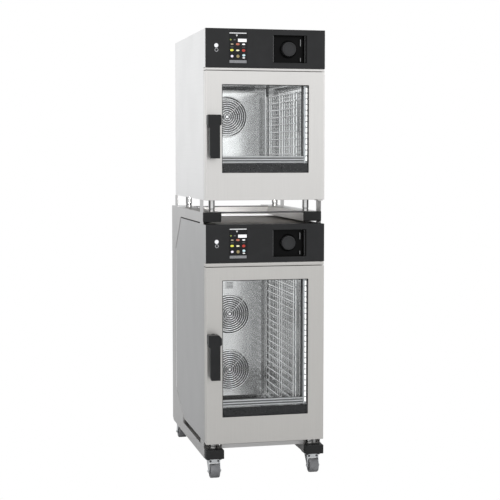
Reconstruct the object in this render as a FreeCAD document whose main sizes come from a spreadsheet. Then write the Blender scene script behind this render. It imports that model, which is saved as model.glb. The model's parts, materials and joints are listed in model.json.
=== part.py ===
import FreeCAD, Part
import math
import os
import re

import Sketcher

# Two small combi steamer ovens, one stacked on the other, in a frame on four castors.
# +Z is up, the doors face -Y, and the origin is on the floor under the middle of the stack.

DIMENSIONS = {
    "face_y": -398.5,            # front face of the doors and control panels
    "door_half": 259.5,          # half the width of a door
    "door_thick": 44,
    "door_room": 48,             # front face of a door to the front of its casing
    "casing_half": 258,
    "casing_depth": 704,
    "sheet_thick": 1.5,
    "lower_floor": 150,          # underside of the lower oven
    "lower_high": 937,
    "lower_door_high": 757,
    "upper_floor": 1190,
    "upper_high": 716.5,
    "upper_door_high": 541,
    "window_half": 188.5,
    "window_low": 114.7,
    "window_head": 56,           # top of the door down to its glass
    "glass_thick": 4,
    "glass_set": 0.8,            # face of a door to its outer pane
    "glass_lap": 22,             # edge of the inner pane past the window
    "band_high": 41,             # printed band at the foot of the window
    "pane_rail_high": 30,
    "pane_rail_front": 14,
    "pane_rail_rear": 30,
    "light_wide": 15,
    "light_edge": 2.5,           # edge of the window to its light channel
    "light_front": 16,
    "light_thick": 6,
    "cavity_left": -228,
    "cavity_right": 168,
    "cavity_low": 72,
    "cavity_head": 36,           # top of the door down to the cavity's ceiling
    "cavity_deep": 612,
    "baffle_deep": 572,
    "baffle_half": 156,
    "gasket_wide": 10,
    "upper_fan_x": -36,
    "upper_fan_z": 368,
    "lower_fan_x": -25,
    "lower_fan_z": 211,
    "lower_fan_step": 267,
    "intake_radius": 92,
    "guard_radius": 94,
    "guard_pitch": 10,
    "guard_wire": 2.2,
    "guard_stand": 8,            # face of the fan cover to the middle of a guard's rings
    "fan_radius": 78,
    "fan_deep": 26,
    "fan_set": 7,                # fan cover to the front of a fan
    "shaft_radius": 6,
    "heater_radius": 100,
    "heater_wire": 4,
    "heater_set": 14,            # fan cover to the first turn of a heater
    "heater_step": 12,
    "motor_radius": 42,
    "motor_long": 48,
    "motor_gap": 8,
    "lamp_half": 18.5,
    "lamp_drop": 92,             # top of the fan cover to the middle of the lamp
    "lamp_thick": 5,
    "rack_front": 45,            # front of a casing to the first rack post
    "rack_deep": 490,
    "rack_pitch": 33,
    "rack_wire": 2.5,
    "rack_post": 4,
    "rack_inner": 3,             # radius of the inner posts, which carry the shelf wires
    "rack_clear": 4,             # cavity wall to the outer posts
    "rack_reach": 12,            # outer post to inner post
    "rack_end": 12,              # end of a shelf wire past the last post
    "panel_high": 162,
    "panel_deep": 48,
    "panel_wall": 3,
    "recess_left": 32,
    "recess_right": 170.5,
    "recess_low": 23,
    "recess_high": 138,
    "recess_deep": 26,
    "screen_left": -158.5,
    "screen_right": -80,
    "screen_low": 16.5,
    "screen_high": 147.5,
    "screen_thick": 5,
    "knob_x": 102.5,
    "knob_z": 81,
    "knob_radius": 30.5,
    "knob_long": 24,
    "knob_shaft": 3,
    "button_x": -212.5,
    "button_z": 90.7,
    "button_radius": 9.3,
    "button_long": 10,
    "handle_x": -229.5,
    "upper_handle_z": 337,
    "lower_handle_z": 456,
    "upper_grip_long": 161,      # pivot down to the tip of the lever
    "lower_grip_long": 172,
    "grip_thick": 24,
    "grip_gap": 31,              # door face to the back of the lever
    "spindle_radius": 8,
    "spindle_long": 30,
    "running_gap": 0.05,
    "hinge_x": 253,
    "hinge_y": 33,
    "hinge_radius": 4,
    "hinge_pin": 14,
    "hinge_ear": 5,
    "hinge_drop": 0.6,           # underside of an oven to the ear under it
    "leg_x": 209,
    "leg_front": 124,
    "leg_rear": 670,
    "leg_radius": 14,
    "foot_x": 216,               # short feet under the lower oven
    "foot_front": 70,
    "foot_rear": 670,
    "foot_radius": 18,
    "leg_high": 53,
    "arm_wide": 76,
    "arm_high": 41,
    "arm_front": 50,
    "base_arm_high": 39,
    "cap_long": 40,
    "plate_thick": 2,
    "arm_wall": 2,
    "tie_high": 4,
    "spine_inner": 757,
    "spine_outer": 848,
    "castor_x": 219,
    "castor_high": 85,
    "castor_front": 50,
    "castor_rear": 800,
    "castor_trail": 22,
    "wheel_radius": 30,
    "wheel_wide": 42,
    "axle_radius": 4,
    "king_pin": 5,
    "fork_wall": 3,
    "fork_gap": 1.5,             # side of a wheel to its fork
    "drain_radius": 25,
    "drain_long": 45,
    "inlet_radius": 13.2,
    "inlet_long": 22,
    "gland_radius": 14,
    "gland_long": 26,
}

TURN_TO_Y = FreeCAD.Rotation(FreeCAD.Vector(1, 0, 0), -90)
TURN_TO_X = FreeCAD.Rotation(FreeCAD.Vector(0, 1, 0), 90)
AXES = {"x": TURN_TO_X, "y": TURN_TO_Y, "z": FreeCAD.Rotation()}

doc = FreeCAD.newDocument("oven_stack")
sub_parts = []


# ---------------------------------------------------------------- sheet and expressions

def fill_sheet():
    """The driving dimensions, one row each: its name, its value and an alias."""
    sheet = doc.addObject("Spreadsheet::Sheet", "dims")
    for row, (alias, value) in enumerate(DIMENSIONS.items(), start=1):
        sheet.set(f"A{row}", alias.replace("_", " "))
        sheet.set(f"B{row}", str(value))
        sheet.setAlias(f"B{row}", alias)
    doc.recompute()


def formula(text):
    """Point each alias in a formula at the sheet."""
    def target(match):
        word = match.group(0)
        return "dims." + word if word in DIMENSIONS else word
    return re.sub(r"[a-z_]+", target, str(text))


def bind(item, path, text):
    item.setExpression(path, formula(text))


def bind_place(item, x=0, y=0, z=0):
    for axis, text in (("x", x), ("y", y), ("z", z)):
        bind(item, "Placement.Base." + axis, text)


# ---------------------------------------------------------------- solids

def block(name, x, y, z):
    """A box between a low and a high formula on each axis."""
    item = doc.addObject("Part::Box", name)
    spans = (("Length", x), ("Width", y), ("Height", z))
    for size, (low, high) in spans:
        bind(item, size, f"({high}) - ({low})")
    bind_place(item, x[0], y[0], z[0])
    return item


def rod(name, axis, radius, length, x, y, z):
    """A round bar from one end's centre along an axis."""
    item = doc.addObject("Part::Cylinder", name)
    item.Placement.Rotation = AXES[axis]
    bind(item, "Radius", radius)
    bind(item, "Height", length)
    bind_place(item, x, y, z)
    return item


def ring(name, radius, wire, x, y, z):
    """A round wire ring about an axis along Y."""
    item = doc.addObject("Part::Torus", name)
    item.Placement.Rotation = TURN_TO_Y
    bind(item, "Radius1", radius)
    bind(item, "Radius2", wire)
    bind_place(item, x, y, z)
    return item


def fuse(name, *items):
    item = doc.addObject("Part::MultiFuse", name)
    item.Shapes = list(items)
    return item


def cut(name, base, *tools):
    item = doc.addObject("Part::Cut", name)
    item.Base = base
    item.Tool = tools[0] if len(tools) == 1 else fuse(name + "_tools", *tools)
    return item


def group(name, *items):
    """Separate solids that share one node."""
    item = doc.addObject("Part::Compound", name)
    item.Links = list(items)
    return item


def keep(label, item):
    """Make an item a sub-part; its label names its file."""
    item.Label = label
    sub_parts.append(item)
    return item


# ---------------------------------------------------------------- bodies

def origin_feature(body, role):
    return next(item for item in body.Origin.OriginFeatures if item.Role == role)


def new_sketch(body, name, plane, offset=0):
    """A sketch on one of the body's own origin planes, raised along its normal."""
    sketch = body.newObject("Sketcher::SketchObject", name)
    sketch.AttachmentSupport = [(origin_feature(body, plane), "")]
    sketch.MapMode = "FlatFace"
    bind(sketch, "AttachmentOffset.Base.z", offset)
    return sketch


def hold(sketch, kind, target, text):
    """Tie one distance of the sketch to a formula."""
    index = sketch.addConstraint(Sketcher.Constraint(kind, *target, 1.0))
    bind(sketch, f"Constraints[{index}]", text)


def outline(body, name, plane, points, offset=0):
    """A closed outline through points, each a pair of formulas."""
    sketch = new_sketch(body, name, plane, offset)
    count = len(points)
    start = [FreeCAD.Vector(math.cos(i * math.tau / count), math.sin(i * math.tau / count), 0)
             for i in range(count)]
    for index in range(count):
        sketch.addGeometry(Part.LineSegment(start[index], start[(index + 1) % count]))
    for index in range(count):
        sketch.addConstraint(Sketcher.Constraint("Coincident", index, 2, (index + 1) % count, 1))
    for index, (across, up) in enumerate(points):
        hold(sketch, "DistanceX", (-1, 1, index, 1), across)
        hold(sketch, "DistanceY", (-1, 1, index, 1), up)
    return sketch


def circle(body, name, plane, radius, offset=0):
    sketch = new_sketch(body, name, plane, offset)
    sketch.addGeometry(Part.Circle(FreeCAD.Vector(), FreeCAD.Vector(0, 0, 1), 1))
    sketch.addConstraint(Sketcher.Constraint("Coincident", 0, 3, -1, 1))
    hold(sketch, "Radius", (0,), radius)
    return sketch


def pad(body, sketch, length, reverse=False):
    feature = body.newObject("PartDesign::Pad", sketch.Name + "_pad")
    feature.Profile = sketch
    feature.Reversed = reverse
    bind(feature, "Length", length)
    sketch.Visibility = False
    return feature


def revolve(body, sketch, axis):
    feature = body.newObject("PartDesign::Revolution", sketch.Name + "_turn")
    feature.Profile = sketch
    feature.ReferenceAxis = (sketch, [axis])
    feature.Angle = 360
    return feature


def round_edges(body, base, radius, wanted):
    """Round the edges of a body's feature that a test on (middle, direction) picks."""
    doc.recompute()
    names = []
    for index, edge in enumerate(base.Shape.Edges, start=1):
        if isinstance(edge.Curve, Part.Line):
            run = edge.Vertexes[-1].Point - edge.Vertexes[0].Point
            if wanted(edge.CenterOfMass, run.normalize()):
                names.append(f"Edge{index}")
    feature = body.newObject("PartDesign::Fillet", base.Name + "_round")
    feature.Base = (base, names)
    bind(feature, "Radius", radius)
    return feature


def new_body(name, x=0, y=0, z=0):
    body = doc.addObject("PartDesign::Body", name)
    bind_place(body, x, y, z)
    return body


# ---------------------------------------------------------------- oven casing

CASING_FRONT = "face_y + door_room"
CASING_REAR = "face_y + door_room + casing_depth"
INSIDE = ("-casing_half + sheet_thick", "casing_half - sheet_thick")


def make_casing(oven):
    """Side, top, back and bottom sheets, which meet face to face."""
    floor = f"{oven}_floor"
    top = f"{oven}_floor + {oven}_high"
    depth = (CASING_FRONT, CASING_REAR)
    keep(f"{oven}_left_side", block(f"{oven}_left_sheet", ("-casing_half", INSIDE[0]), depth, (floor, top)))
    keep(f"{oven}_right_side", block(f"{oven}_right_sheet", (INSIDE[1], "casing_half"), depth, (floor, top)))
    keep(f"{oven}_top_panel",
         block(f"{oven}_top_sheet", INSIDE, depth, (f"{top} - sheet_thick", top)))
    make_back_panel(oven, floor, top)
    make_base_pan(oven, floor)


def make_back_panel(oven, floor, top):
    """The rear sheet, set between the other sheets."""
    sheet = block(f"{oven}_back_sheet", INSIDE, (f"{CASING_REAR} - sheet_thick", CASING_REAR),
                  (f"{floor} + sheet_thick", f"{top} - sheet_thick"))
    keep(f"{oven}_back_panel", sheet)


def make_base_pan(oven, floor):
    """The bottom sheet, with the ear and upright pin of the door's lower hinge."""
    sheet = block(f"{oven}_base_sheet", INSIDE, (CASING_FRONT, f"{CASING_REAR} - sheet_thick"),
                  (floor, f"{floor} + sheet_thick"))
    ear = block(f"{oven}_hinge_ear", ("hinge_x - 14", "hinge_x + 5"),
                ("face_y + hinge_y - 10", f"{CASING_FRONT} + 40"),
                (f"{floor} - hinge_drop - hinge_ear", f"{floor} - hinge_drop"))
    riser = block(f"{oven}_hinge_riser", ("hinge_x - 14", "hinge_x + 3"),
                  (CASING_FRONT, f"{CASING_FRONT} + 40"), (f"{floor} - 1", f"{floor} + 1"))
    pin = rod(f"{oven}_low_pin", "z", "hinge_radius", "hinge_pin + 1",
              "hinge_x", "face_y + hinge_y", f"{floor} - 2")
    keep(f"{oven}_base_pan", fuse(f"{oven}_base_weld", sheet, ear, riser, pin))


def make_head_rail(oven):
    """The rail between door and control panel, with the upper hinge pin under it."""
    door_top = f"{oven}_floor + {oven}_door_high"
    low = f"{door_top} + 4"
    rail = block(f"{oven}_rail_bar", ("-door_half + 1", "door_half - 1"),
                 ("face_y + 3", CASING_FRONT), (low, f"{oven}_floor + {oven}_high - panel_high"))
    pin = rod(f"{oven}_high_pin", "z", "hinge_radius", "hinge_pin + 4",
              "hinge_x", "face_y + hinge_y", f"{door_top} - hinge_pin + 1")
    keep(f"{oven}_head_rail", fuse(f"{oven}_rail_weld", rail, pin))


# ---------------------------------------------------------------- cavity

def cavity_span(oven):
    low = f"{oven}_floor + cavity_low"
    high = f"{oven}_floor + {oven}_door_high - cavity_head"
    return low, high


def fan_places(oven):
    """The centres of an oven's fans as (name, x, z)."""
    if oven == "upper":
        return [("upper_fan", "upper_fan_x", "upper_floor + upper_fan_z")]
    return [("lower_fan_low", "lower_fan_x", "lower_floor + lower_fan_z"),
            ("lower_fan_high", "lower_fan_x", "lower_floor + lower_fan_z + lower_fan_step")]


def make_cavity(oven):
    """The welded liner: four walls and a back, with a flange all round its mouth."""
    low, high = cavity_span(oven)
    back = f"{CASING_FRONT} + cavity_deep"
    shell = block(f"{oven}_liner_shell", ("cavity_left - sheet_thick", "cavity_right + sheet_thick"),
                  (CASING_FRONT, f"{back} + sheet_thick"),
                  (f"{low} - sheet_thick", f"{high} + sheet_thick"))
    flange = block(f"{oven}_flange", INSIDE, (CASING_FRONT, f"{CASING_FRONT} + sheet_thick"),
                   (f"{oven}_floor + sheet_thick", f"{oven}_floor + {oven}_high - sheet_thick"))
    room = block(f"{oven}_liner_room", ("cavity_left", "cavity_right"),
                 (f"{CASING_FRONT} - 5", back), (low, high))
    holes = [rod(f"{name}_wall_hole", "y", "shaft_radius + 3", 20, x, f"{back} - 10", z)
             for name, x, z in fan_places(oven)]
    keep(f"{oven}_cavity", cut(f"{oven}_liner", fuse(f"{oven}_liner_weld", shell, flange), room, *holes))


def make_gasket(oven):
    """The door seal round the cavity's mouth."""
    low, high = cavity_span(oven)
    depth = (f"{CASING_FRONT} - 3.4", CASING_FRONT)
    outer = block(f"{oven}_seal_outer", ("cavity_left - gasket_wide - 6", "cavity_right + gasket_wide + 6"),
                  depth, (f"{low} - gasket_wide - 6", f"{high} + gasket_wide + 6"))
    inner = block(f"{oven}_seal_inner", ("cavity_left - 6", "cavity_right + 6"),
                  (f"{CASING_FRONT} - 5", f"{CASING_FRONT} + 2"), (f"{low} - 6", f"{high} + 6"))
    keep(f"{oven}_gasket", cut(f"{oven}_seal", outer, inner))


def make_baffle(oven):
    """The fan cover, a plate with a round intake at each fan and four stand-offs."""
    low, high = cavity_span(oven)
    front = f"{CASING_FRONT} + baffle_deep"
    middle = f"{oven}_fan_x"
    plate = block(f"{oven}_baffle_plate", (f"{middle} - baffle_half", f"{middle} + baffle_half"),
                  (front, f"{front} + sheet_thick"), (f"{low} + 14", f"{high} - 14"))
    intakes = [rod(f"{name}_intake", "y", "intake_radius", 20, x, f"{front} - 10", z)
               for name, x, z in fan_places(oven)]
    holed = cut(f"{oven}_baffle_holed", plate, *intakes)
    stands = []
    for side in (-1, 1):
        for end, level in (("low", f"{low} + 26"), ("high", f"{high} - 26")):
            stands.append(rod(f"{oven}_stand_{end}_{'left' if side < 0 else 'right'}", "y", 5,
                              "cavity_deep - baffle_deep - sheet_thick / 2",
                              f"{middle} + {side} * (baffle_half - 14)", f"{front} + sheet_thick / 2", level))
    if oven == "lower":
        stands.append(make_lamp(middle, front, f"{high} - 14 - lamp_drop"))
    keep(f"{oven}_baffle", fuse(f"{oven}_baffle_weld", holed, *stands))


def make_lamp(x, front, z):
    """The square lamp cover on the fan cover."""
    return block("lamp_cover", (f"{x} - lamp_half", f"{x} + lamp_half"),
                 (f"{front} - lamp_thick", f"{front} + 1"), (f"{z} - lamp_half", f"{z} + lamp_half"))


GUARD_RINGS = 9


def guard_grille(name, x, z):
    """Concentric wire rings on crossed bars, standing on the fan cover."""
    front = f"{CASING_FRONT} + baffle_deep - guard_stand"
    wires = [ring(f"{name}_ring_{step}", f"guard_radius - {step} * guard_pitch", "guard_wire", x, front, z)
             for step in range(GUARD_RINGS)]
    bar = "guard_wire + 0.5"
    reach = "guard_radius + 8"
    level = f"{front} + guard_wire + 1"
    wires.append(rod(f"{name}_bar_across", "x", bar, f"2 * ({reach})", f"{x} - ({reach})", level, z))
    wires.append(rod(f"{name}_bar_up", "z", bar, f"2 * ({reach})", x, level, f"{z} - ({reach})"))
    for side in (-1, 1):
        tag = "left" if side < 0 else "right"
        wires.append(rod(f"{name}_foot_{tag}", "y", "guard_wire + 0.2", "guard_stand - guard_wire - 1",
                         f"{x} + {side} * (guard_radius + 5)", level, z))
    return fuse(f"{name}_grille", *wires)


def make_guards(oven):
    grilles = [guard_grille(f"{name}_guard", x, z) for name, x, z in fan_places(oven)]
    keep(f"{oven}_fan_guard", grilles[0] if len(grilles) == 1 else group("lower_guard_pair", *grilles))


FAN_BLADES = 12


def make_fan(name, x, z):
    """A radial fan wheel: back disc, blades, front ring, hub and shaft."""
    body = new_body(f"{name}_wheel", x, f"{CASING_FRONT} + baffle_deep + fan_set", z)
    disc = outline(body, f"{name}_half", "XY_Plane", [
        (0, 2), ("shaft_radius + 8", 2), ("shaft_radius + 8", "fan_deep - 2"),
        ("fan_radius", "fan_deep - 2"), ("fan_radius", "fan_deep"), ("shaft_radius", "fan_deep"),
        ("shaft_radius", "fan_deep + 50"), (0, "fan_deep + 50")])
    revolve(body, disc, "V_Axis")
    blade = outline(body, f"{name}_blade", "XZ_Plane", [
        (-1, "fan_radius - 22"), (1, "fan_radius - 22"), (1, "fan_radius - 0.5"), (-1, "fan_radius - 0.5")])
    blade_pad = pad(body, blade, "fan_deep - 1", reverse=True)
    pattern = body.newObject("PartDesign::PolarPattern", f"{name}_blades")
    pattern.Originals = [blade_pad]
    pattern.Axis = (origin_feature(body, "Y_Axis"), [""])
    pattern.Angle = 360
    pattern.Occurrences = FAN_BLADES
    body.Tip = pattern
    rim = outline(body, f"{name}_rim", "XY_Plane", [
        ("fan_radius - 20", 0), ("fan_radius", 0), ("fan_radius", 2), ("fan_radius - 20", 2)])
    revolve(body, rim, "V_Axis")
    keep(name, body)


def make_motors(places):
    """A motor behind each cavity, bored for its fan's shaft."""
    motors = []
    wall = f"{CASING_FRONT} + cavity_deep + sheet_thick"
    front = f"{wall} + motor_gap"
    for name, x, z in places:
        case = rod(f"{name}_motor_case", "y", "motor_radius", "motor_long", x, front, z)
        bore = rod(f"{name}_motor_bore", "y", "shaft_radius + running_gap", "motor_long + 12",
                   x, f"{front} - 5", z)
        foot = block(f"{name}_motor_foot", (f"{x} - 30", f"{x} + 30"), (wall, f"{front} + 20"),
                     (f"{z} - motor_radius - 6", f"{z} - motor_radius + 4"))
        motors.append(cut(f"{name}_motor", fuse(f"{name}_motor_weld", case, foot), bore))
    keep("fan_motors", group("motor_set", *motors))


def make_heaters(places):
    """A two-turn tubular heater round each fan, carried by two straight tails."""
    heaters = []
    first = f"{CASING_FRONT} + baffle_deep + heater_set"
    for name, x, z in places:
        turns = [ring(f"{name}_turn_{step}", "heater_radius", "heater_wire",
                      x, f"{first} + {step} * heater_step", z) for step in range(2)]
        tails = [rod(f"{name}_tail_{side}", "y", "heater_wire - 0.5",
                     "cavity_deep - baffle_deep - heater_set",
                     f"{x} + {spread}", first, f"{z} - heater_radius * 0.995")
                 for side, spread in (("a", -10), ("b", 10))]
        heaters.append(fuse(f"{name}_heater", *turns, *tails))
    keep("fan_heaters", group("heater_set", *heaters))


def rack_side(oven, tag, wall, inward, rungs):
    """One wire rack: posts at the wall, tied to inner posts that carry the shelf wires."""
    low, _ = cavity_span(oven)
    front = f"{CASING_FRONT} + rack_front"
    post_x = f"{wall} + {inward} * (rack_clear + rack_post)"
    wire_x = f"{post_x} + {inward} * rack_reach"
    height = f"{rungs} * rack_pitch"
    items = []
    for step in range(3):
        y = f"{front} + {step} * rack_deep / 2"
        items.append(rod(f"{oven}_{tag}_post_{step}", "z", "rack_post", height, post_x, y, low))
        items.append(rod(f"{oven}_{tag}_inner_{step}", "z", "rack_inner", f"{height} - 16",
                         wire_x, y, f"{low} + 10"))
        for end, level in (("low", f"{low} + 14"), ("high", f"{low} + {height} - 10")):
            start = post_x if inward > 0 else wire_x
            items.append(rod(f"{oven}_{tag}_tie_{end}_{step}", "x", "rack_wire", "rack_reach",
                             start, y, level))
    for step in range(rungs):
        items.append(rod(f"{oven}_{tag}_wire_{step}", "y", "rack_wire", "rack_deep + 2 * rack_end",
                         wire_x, f"{front} - rack_end", f"{low} + ({step} + 0.7) * rack_pitch"))
    return fuse(f"{oven}_{tag}_rack", *items)


def make_racks(oven, rungs):
    left = rack_side(oven, "left", "cavity_left", 1, rungs)
    right = rack_side(oven, "right", "cavity_right", -1, rungs)
    keep(f"{oven}_racks", group(f"{oven}_rack_pair", left, right))


# ---------------------------------------------------------------- control panel

def make_panel(oven):
    """The moulded control panel: an open-backed tray with a pocket for the knob."""
    low = f"{oven}_floor + {oven}_high - panel_high"
    top = f"{oven}_floor + {oven}_high"
    rear = "face_y + panel_deep"
    outer = block(f"{oven}_panel_outer", ("-door_half + 1", "door_half - 1"), ("face_y", rear), (low, top))
    hollow = block(f"{oven}_panel_hollow",
                   ("-door_half + 1 + panel_wall", "door_half - 1 - panel_wall"),
                   ("face_y + panel_wall", f"{rear} + 5"), (f"{low} + panel_wall", f"{top} - panel_wall"))
    tub = block(f"{oven}_tub_outer", ("recess_left - panel_wall", "recess_right + panel_wall"),
                ("face_y + 1", "face_y + recess_deep + panel_wall"),
                (f"{low} + recess_low - panel_wall", f"{low} + recess_high + panel_wall"))
    recess = block(f"{oven}_tub_inner", ("recess_left", "recess_right"),
                   ("face_y - 5", "face_y + recess_deep"), (f"{low} + recess_low", f"{low} + recess_high"))
    seat = block(f"{oven}_screen_seat", ("screen_left - 3", "screen_right + 3"),
                 ("face_y + 1", "face_y + screen_thick + 3"),
                 (f"{low} + screen_low - 2.5", f"{low} + screen_high + 3"))
    screen = block(f"{oven}_screen_room", ("screen_left", "screen_right"),
                   ("face_y - 5", "face_y + screen_thick"),
                   (f"{low} + screen_low", f"{low} + screen_high"))
    guide = rod(f"{oven}_button_guide", "y", "button_radius + 3", "button_long + 6",
                "button_x", "face_y + 1", f"{low} + button_z")
    slide = rod(f"{oven}_button_hole", "y", "button_radius + 0.4", "button_long + 20",
                "button_x", "face_y - 5", f"{low} + button_z")
    shaft = rod(f"{oven}_knob_hole", "y", "knob_shaft + running_gap", 20,
                "knob_x", "face_y + recess_deep - 5", f"{low} + knob_z")
    tray = cut(f"{oven}_panel_tray", outer, hollow)
    full = fuse(f"{oven}_panel_weld", tray, tub, seat, guide)
    keep(f"{oven}_control_panel", cut(f"{oven}_panel", full, recess, screen, slide, shaft))
    keep(f"{oven}_display",
         block(f"{oven}_screen", ("screen_left", "screen_right"),
               ("face_y + 0.4", "face_y + screen_thick"), (f"{low} + screen_low", f"{low} + screen_high")))


def make_knob(oven):
    """The round control knob with its shaft."""
    body = new_body(f"{oven}_knob_body", "knob_x", "face_y + recess_deep - knob_long",
                    f"{oven}_floor + {oven}_high - panel_high + knob_z")
    half = outline(body, f"{oven}_knob_half", "XY_Plane", [
        (0, 0), ("knob_radius - 3", 0), ("knob_radius", 3), ("knob_radius", "knob_long - 1.5"),
        ("knob_shaft", "knob_long - 1.5"), ("knob_shaft", "knob_long + 12"), (0, "knob_long + 12")])
    revolve(body, half, "V_Axis")
    keep(f"{oven}_knob", body)


def make_button(oven):
    """The power button, a disc on a guide with room to press behind it."""
    body = new_body(f"{oven}_button_body", "button_x", "face_y - 0.8",
                    f"{oven}_floor + {oven}_high - panel_high + button_z")
    half = outline(body, f"{oven}_button_half", "XY_Plane", [
        (0, 0), ("button_radius - 0.8", 0), ("button_radius", 0.8),
        ("button_radius", "button_long"), (0, "button_long")])
    revolve(body, half, "V_Axis")
    keep(f"{oven}_power_button", body)


# ---------------------------------------------------------------- door

def door_span(oven):
    return f"{oven}_floor", f"{oven}_floor + {oven}_door_high"


def make_door(oven):
    """A hollow steel door with a window, a rail for its inner pane and an upright light channel.

    It is bored for its hinge pins and for the lever's spindle.
    """
    low, high = door_span(oven)
    body = new_body(f"{oven}_door_skin", 0, "face_y", low)
    skin = outline(body, f"{oven}_door_plan", "XY_Plane", [
        ("-door_half", 0), ("door_half", 0), ("door_half", "door_thick"), ("-door_half", "door_thick")])
    slab = pad(body, skin, f"{oven}_door_high")
    round_edges(body, slab, 6, lambda middle, run: abs(run.z) > 0.9)
    rear = "face_y + door_thick"
    window = (f"{low} + window_low", f"{high} - window_head")
    hollow = block(f"{oven}_door_hollow", ("-door_half + 3.5", "door_half - 3.5"),
                   ("face_y + 3", f"{rear} - 3"), (f"{low} + sheet_thick", f"{high} - sheet_thick"))
    front_opening = block(f"{oven}_front_opening", ("-window_half", "window_half"),
                          ("face_y - 5", "face_y + 10"), window)
    rear_opening = block(f"{oven}_rear_opening", ("-window_half - 14", "window_half + 14"),
                         (f"{rear} - 10", f"{rear} + 5"), (f"{window[0]} - 14", f"{window[1]} + 14"))
    boss = rod(f"{oven}_spindle_boss", "y", "spindle_radius + 7", "door_thick - 5",
               "handle_x", "face_y + 2", f"{low} + {oven}_handle_z")
    bore = rod(f"{oven}_spindle_bore", "y", "spindle_radius + running_gap", "spindle_long + 6",
               "handle_x", "face_y - 5", f"{low} + {oven}_handle_z")
    rail_low = f"{window[0]} + band_high"
    blocks = [
        block(f"{oven}_pane_rail", ("-door_half + 3", "door_half - 3"),
              ("face_y + pane_rail_front", "face_y + pane_rail_rear"),
              (rail_low, f"{rail_low} + pane_rail_high")),
        block(f"{oven}_light_channel", ("window_half - light_edge - light_wide", "window_half - light_edge"),
              ("face_y + light_front", "face_y + light_front + light_thick"), (low, high))]
    bores = []
    for end, start in (("low", low), ("high", f"{high} - 24")):
        blocks.append(block(f"{oven}_hinge_block_{end}", ("hinge_x - 9", "door_half - 3"),
                            ("face_y + 2.5", f"{rear} - 2.5"), (f"{start} + 1", f"{start} + 23")))
        bores.append(rod(f"{oven}_hinge_bore_{end}", "z", "hinge_radius + running_gap", 30,
                         "hinge_x", "face_y + hinge_y", f"{start} - {15 if end == 'low' else -9}"))
    shell = cut(f"{oven}_door_shell", body, hollow, front_opening, rear_opening)
    full = fuse(f"{oven}_door_weld", shell, boss, *blocks)
    keep(f"{oven}_door_frame", cut(f"{oven}_door", full, bore, *bores))


def make_glass(oven):
    """The outer pane in the window and the wider inner pane behind the rear opening."""
    low, high = door_span(oven)
    window = (f"{low} + window_low", f"{high} - window_head")
    keep(f"{oven}_outer_glass",
         block(f"{oven}_outer_pane", ("-window_half", "window_half"),
               ("face_y + glass_set", "face_y + glass_set + glass_thick"), window))
    rear = "face_y + door_thick - 3"
    keep(f"{oven}_inner_glass",
         block(f"{oven}_inner_pane", ("-window_half - glass_lap", "window_half + glass_lap"),
               (f"{rear} - glass_thick", rear), (f"{window[0]} - glass_lap", f"{window[1]} + glass_lap")))


def make_handle(oven):
    """The door lever: a flat grip, the head it turns on, and a spindle into the door."""
    drop = f"{oven}_grip_long"
    body = new_body(f"{oven}_lever", "handle_x", "face_y", f"{oven}_floor + {oven}_handle_z")
    grip = outline(body, f"{oven}_grip", "XZ_Plane", [
        (-28.5, 20), (14, 20), (28.5, 6), (28.5, -22), (22, -30), (22, f"-{drop}"),
        (-17, f"-{drop}"), (-21.5, f"-{drop} + 18"), (-21.5, -42), (-28.5, -34)], offset="grip_gap")
    pad(body, grip, "grip_thick")
    head = outline(body, f"{oven}_head", "XZ_Plane", [
        (-28.5, 20), (14, 20), (28.5, 6), (28.5, -22), (20, -30), (-28.5, -30)], offset=7)
    pad(body, head, "grip_gap - 7")
    rose = circle(body, f"{oven}_rose", "XZ_Plane", 20, offset=0.4)
    pad(body, rose, 7)
    spindle = circle(body, f"{oven}_spindle", "XZ_Plane", "spindle_radius", offset="-spindle_long")
    pad(body, spindle, "spindle_long + 2")
    keep(f"{oven}_handle", body)


# ---------------------------------------------------------------- stacking frame

def make_legs(oven, label, kind, base):
    """Four round legs or feet from the frame up to an oven's bottom sheet."""
    legs = []
    for side in (-1, 1):
        for end in ("front", "rear"):
            tag = "left" if side < 0 else "right"
            legs.append(rod(f"{oven}_{kind}_{end}_{tag}", "z", f"{kind}_radius", f"{oven}_floor - ({base})",
                            f"{side} * {kind}_x", f"face_y + {kind}_{end}", base))
    keep(label, group(f"{oven}_leg_set", *legs))


def make_side_plate(name, side):
    """The C-shaped side plate: arms above and below the lower oven and a spine behind it."""
    body = new_body(f"{name}_sheet", "casing_half" if side > 0 else "-casing_half - plate_thick", "face_y", 0)
    deck = "upper_floor - leg_high"
    lip = "lower_floor + lower_high"
    slot = "lower_floor - 20"
    points = [
        (55, "upper_floor"), (125, "upper_floor"), (125, deck), (690, deck),
        (690, "upper_floor"), (752, "upper_floor"), (752, deck), ("spine_outer", deck),
        ("spine_outer", "castor_high + 12"), (734, "castor_high - 2"),
        ("cap_long", "castor_high - 2"), ("cap_long", "castor_high + base_arm_high + 1"),
        (55, "castor_high + base_arm_high + 1"), (55, "lower_floor"), (125, "lower_floor"),
        (125, slot), (557, slot), (557, "lower_floor + 12"), ("spine_inner", "lower_floor + 113"),
        ("spine_inner", f"{lip} - 155"), (604, f"{lip} + 6"), (125, f"{lip} + 6"),
        (125, lip), (55, lip)]
    sheet = outline(body, f"{name}_outline", "YZ_Plane", points)
    pad(body, sheet, "plate_thick")
    keep(name, body)


def channel(name, side, y, low, high):
    """An arm of folded sheet, open underneath."""
    wall = "arm_wall"
    inner = f"{side} * (casing_half - arm_wide)"
    outer = f"{side} * casing_half"
    x = (outer, inner) if side < 0 else (inner, outer)
    bar = block(f"{name}_bar", x, y, (low, high))
    room = block(f"{name}_room", (f"{x[0]} + {wall}", f"{x[1]} - {wall}"),
                 (f"{y[0]} + {wall}", f"{y[1]} - {wall}"), (f"{low} - 5", f"{high} - {wall}"))
    return cut(name, bar, room)


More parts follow.
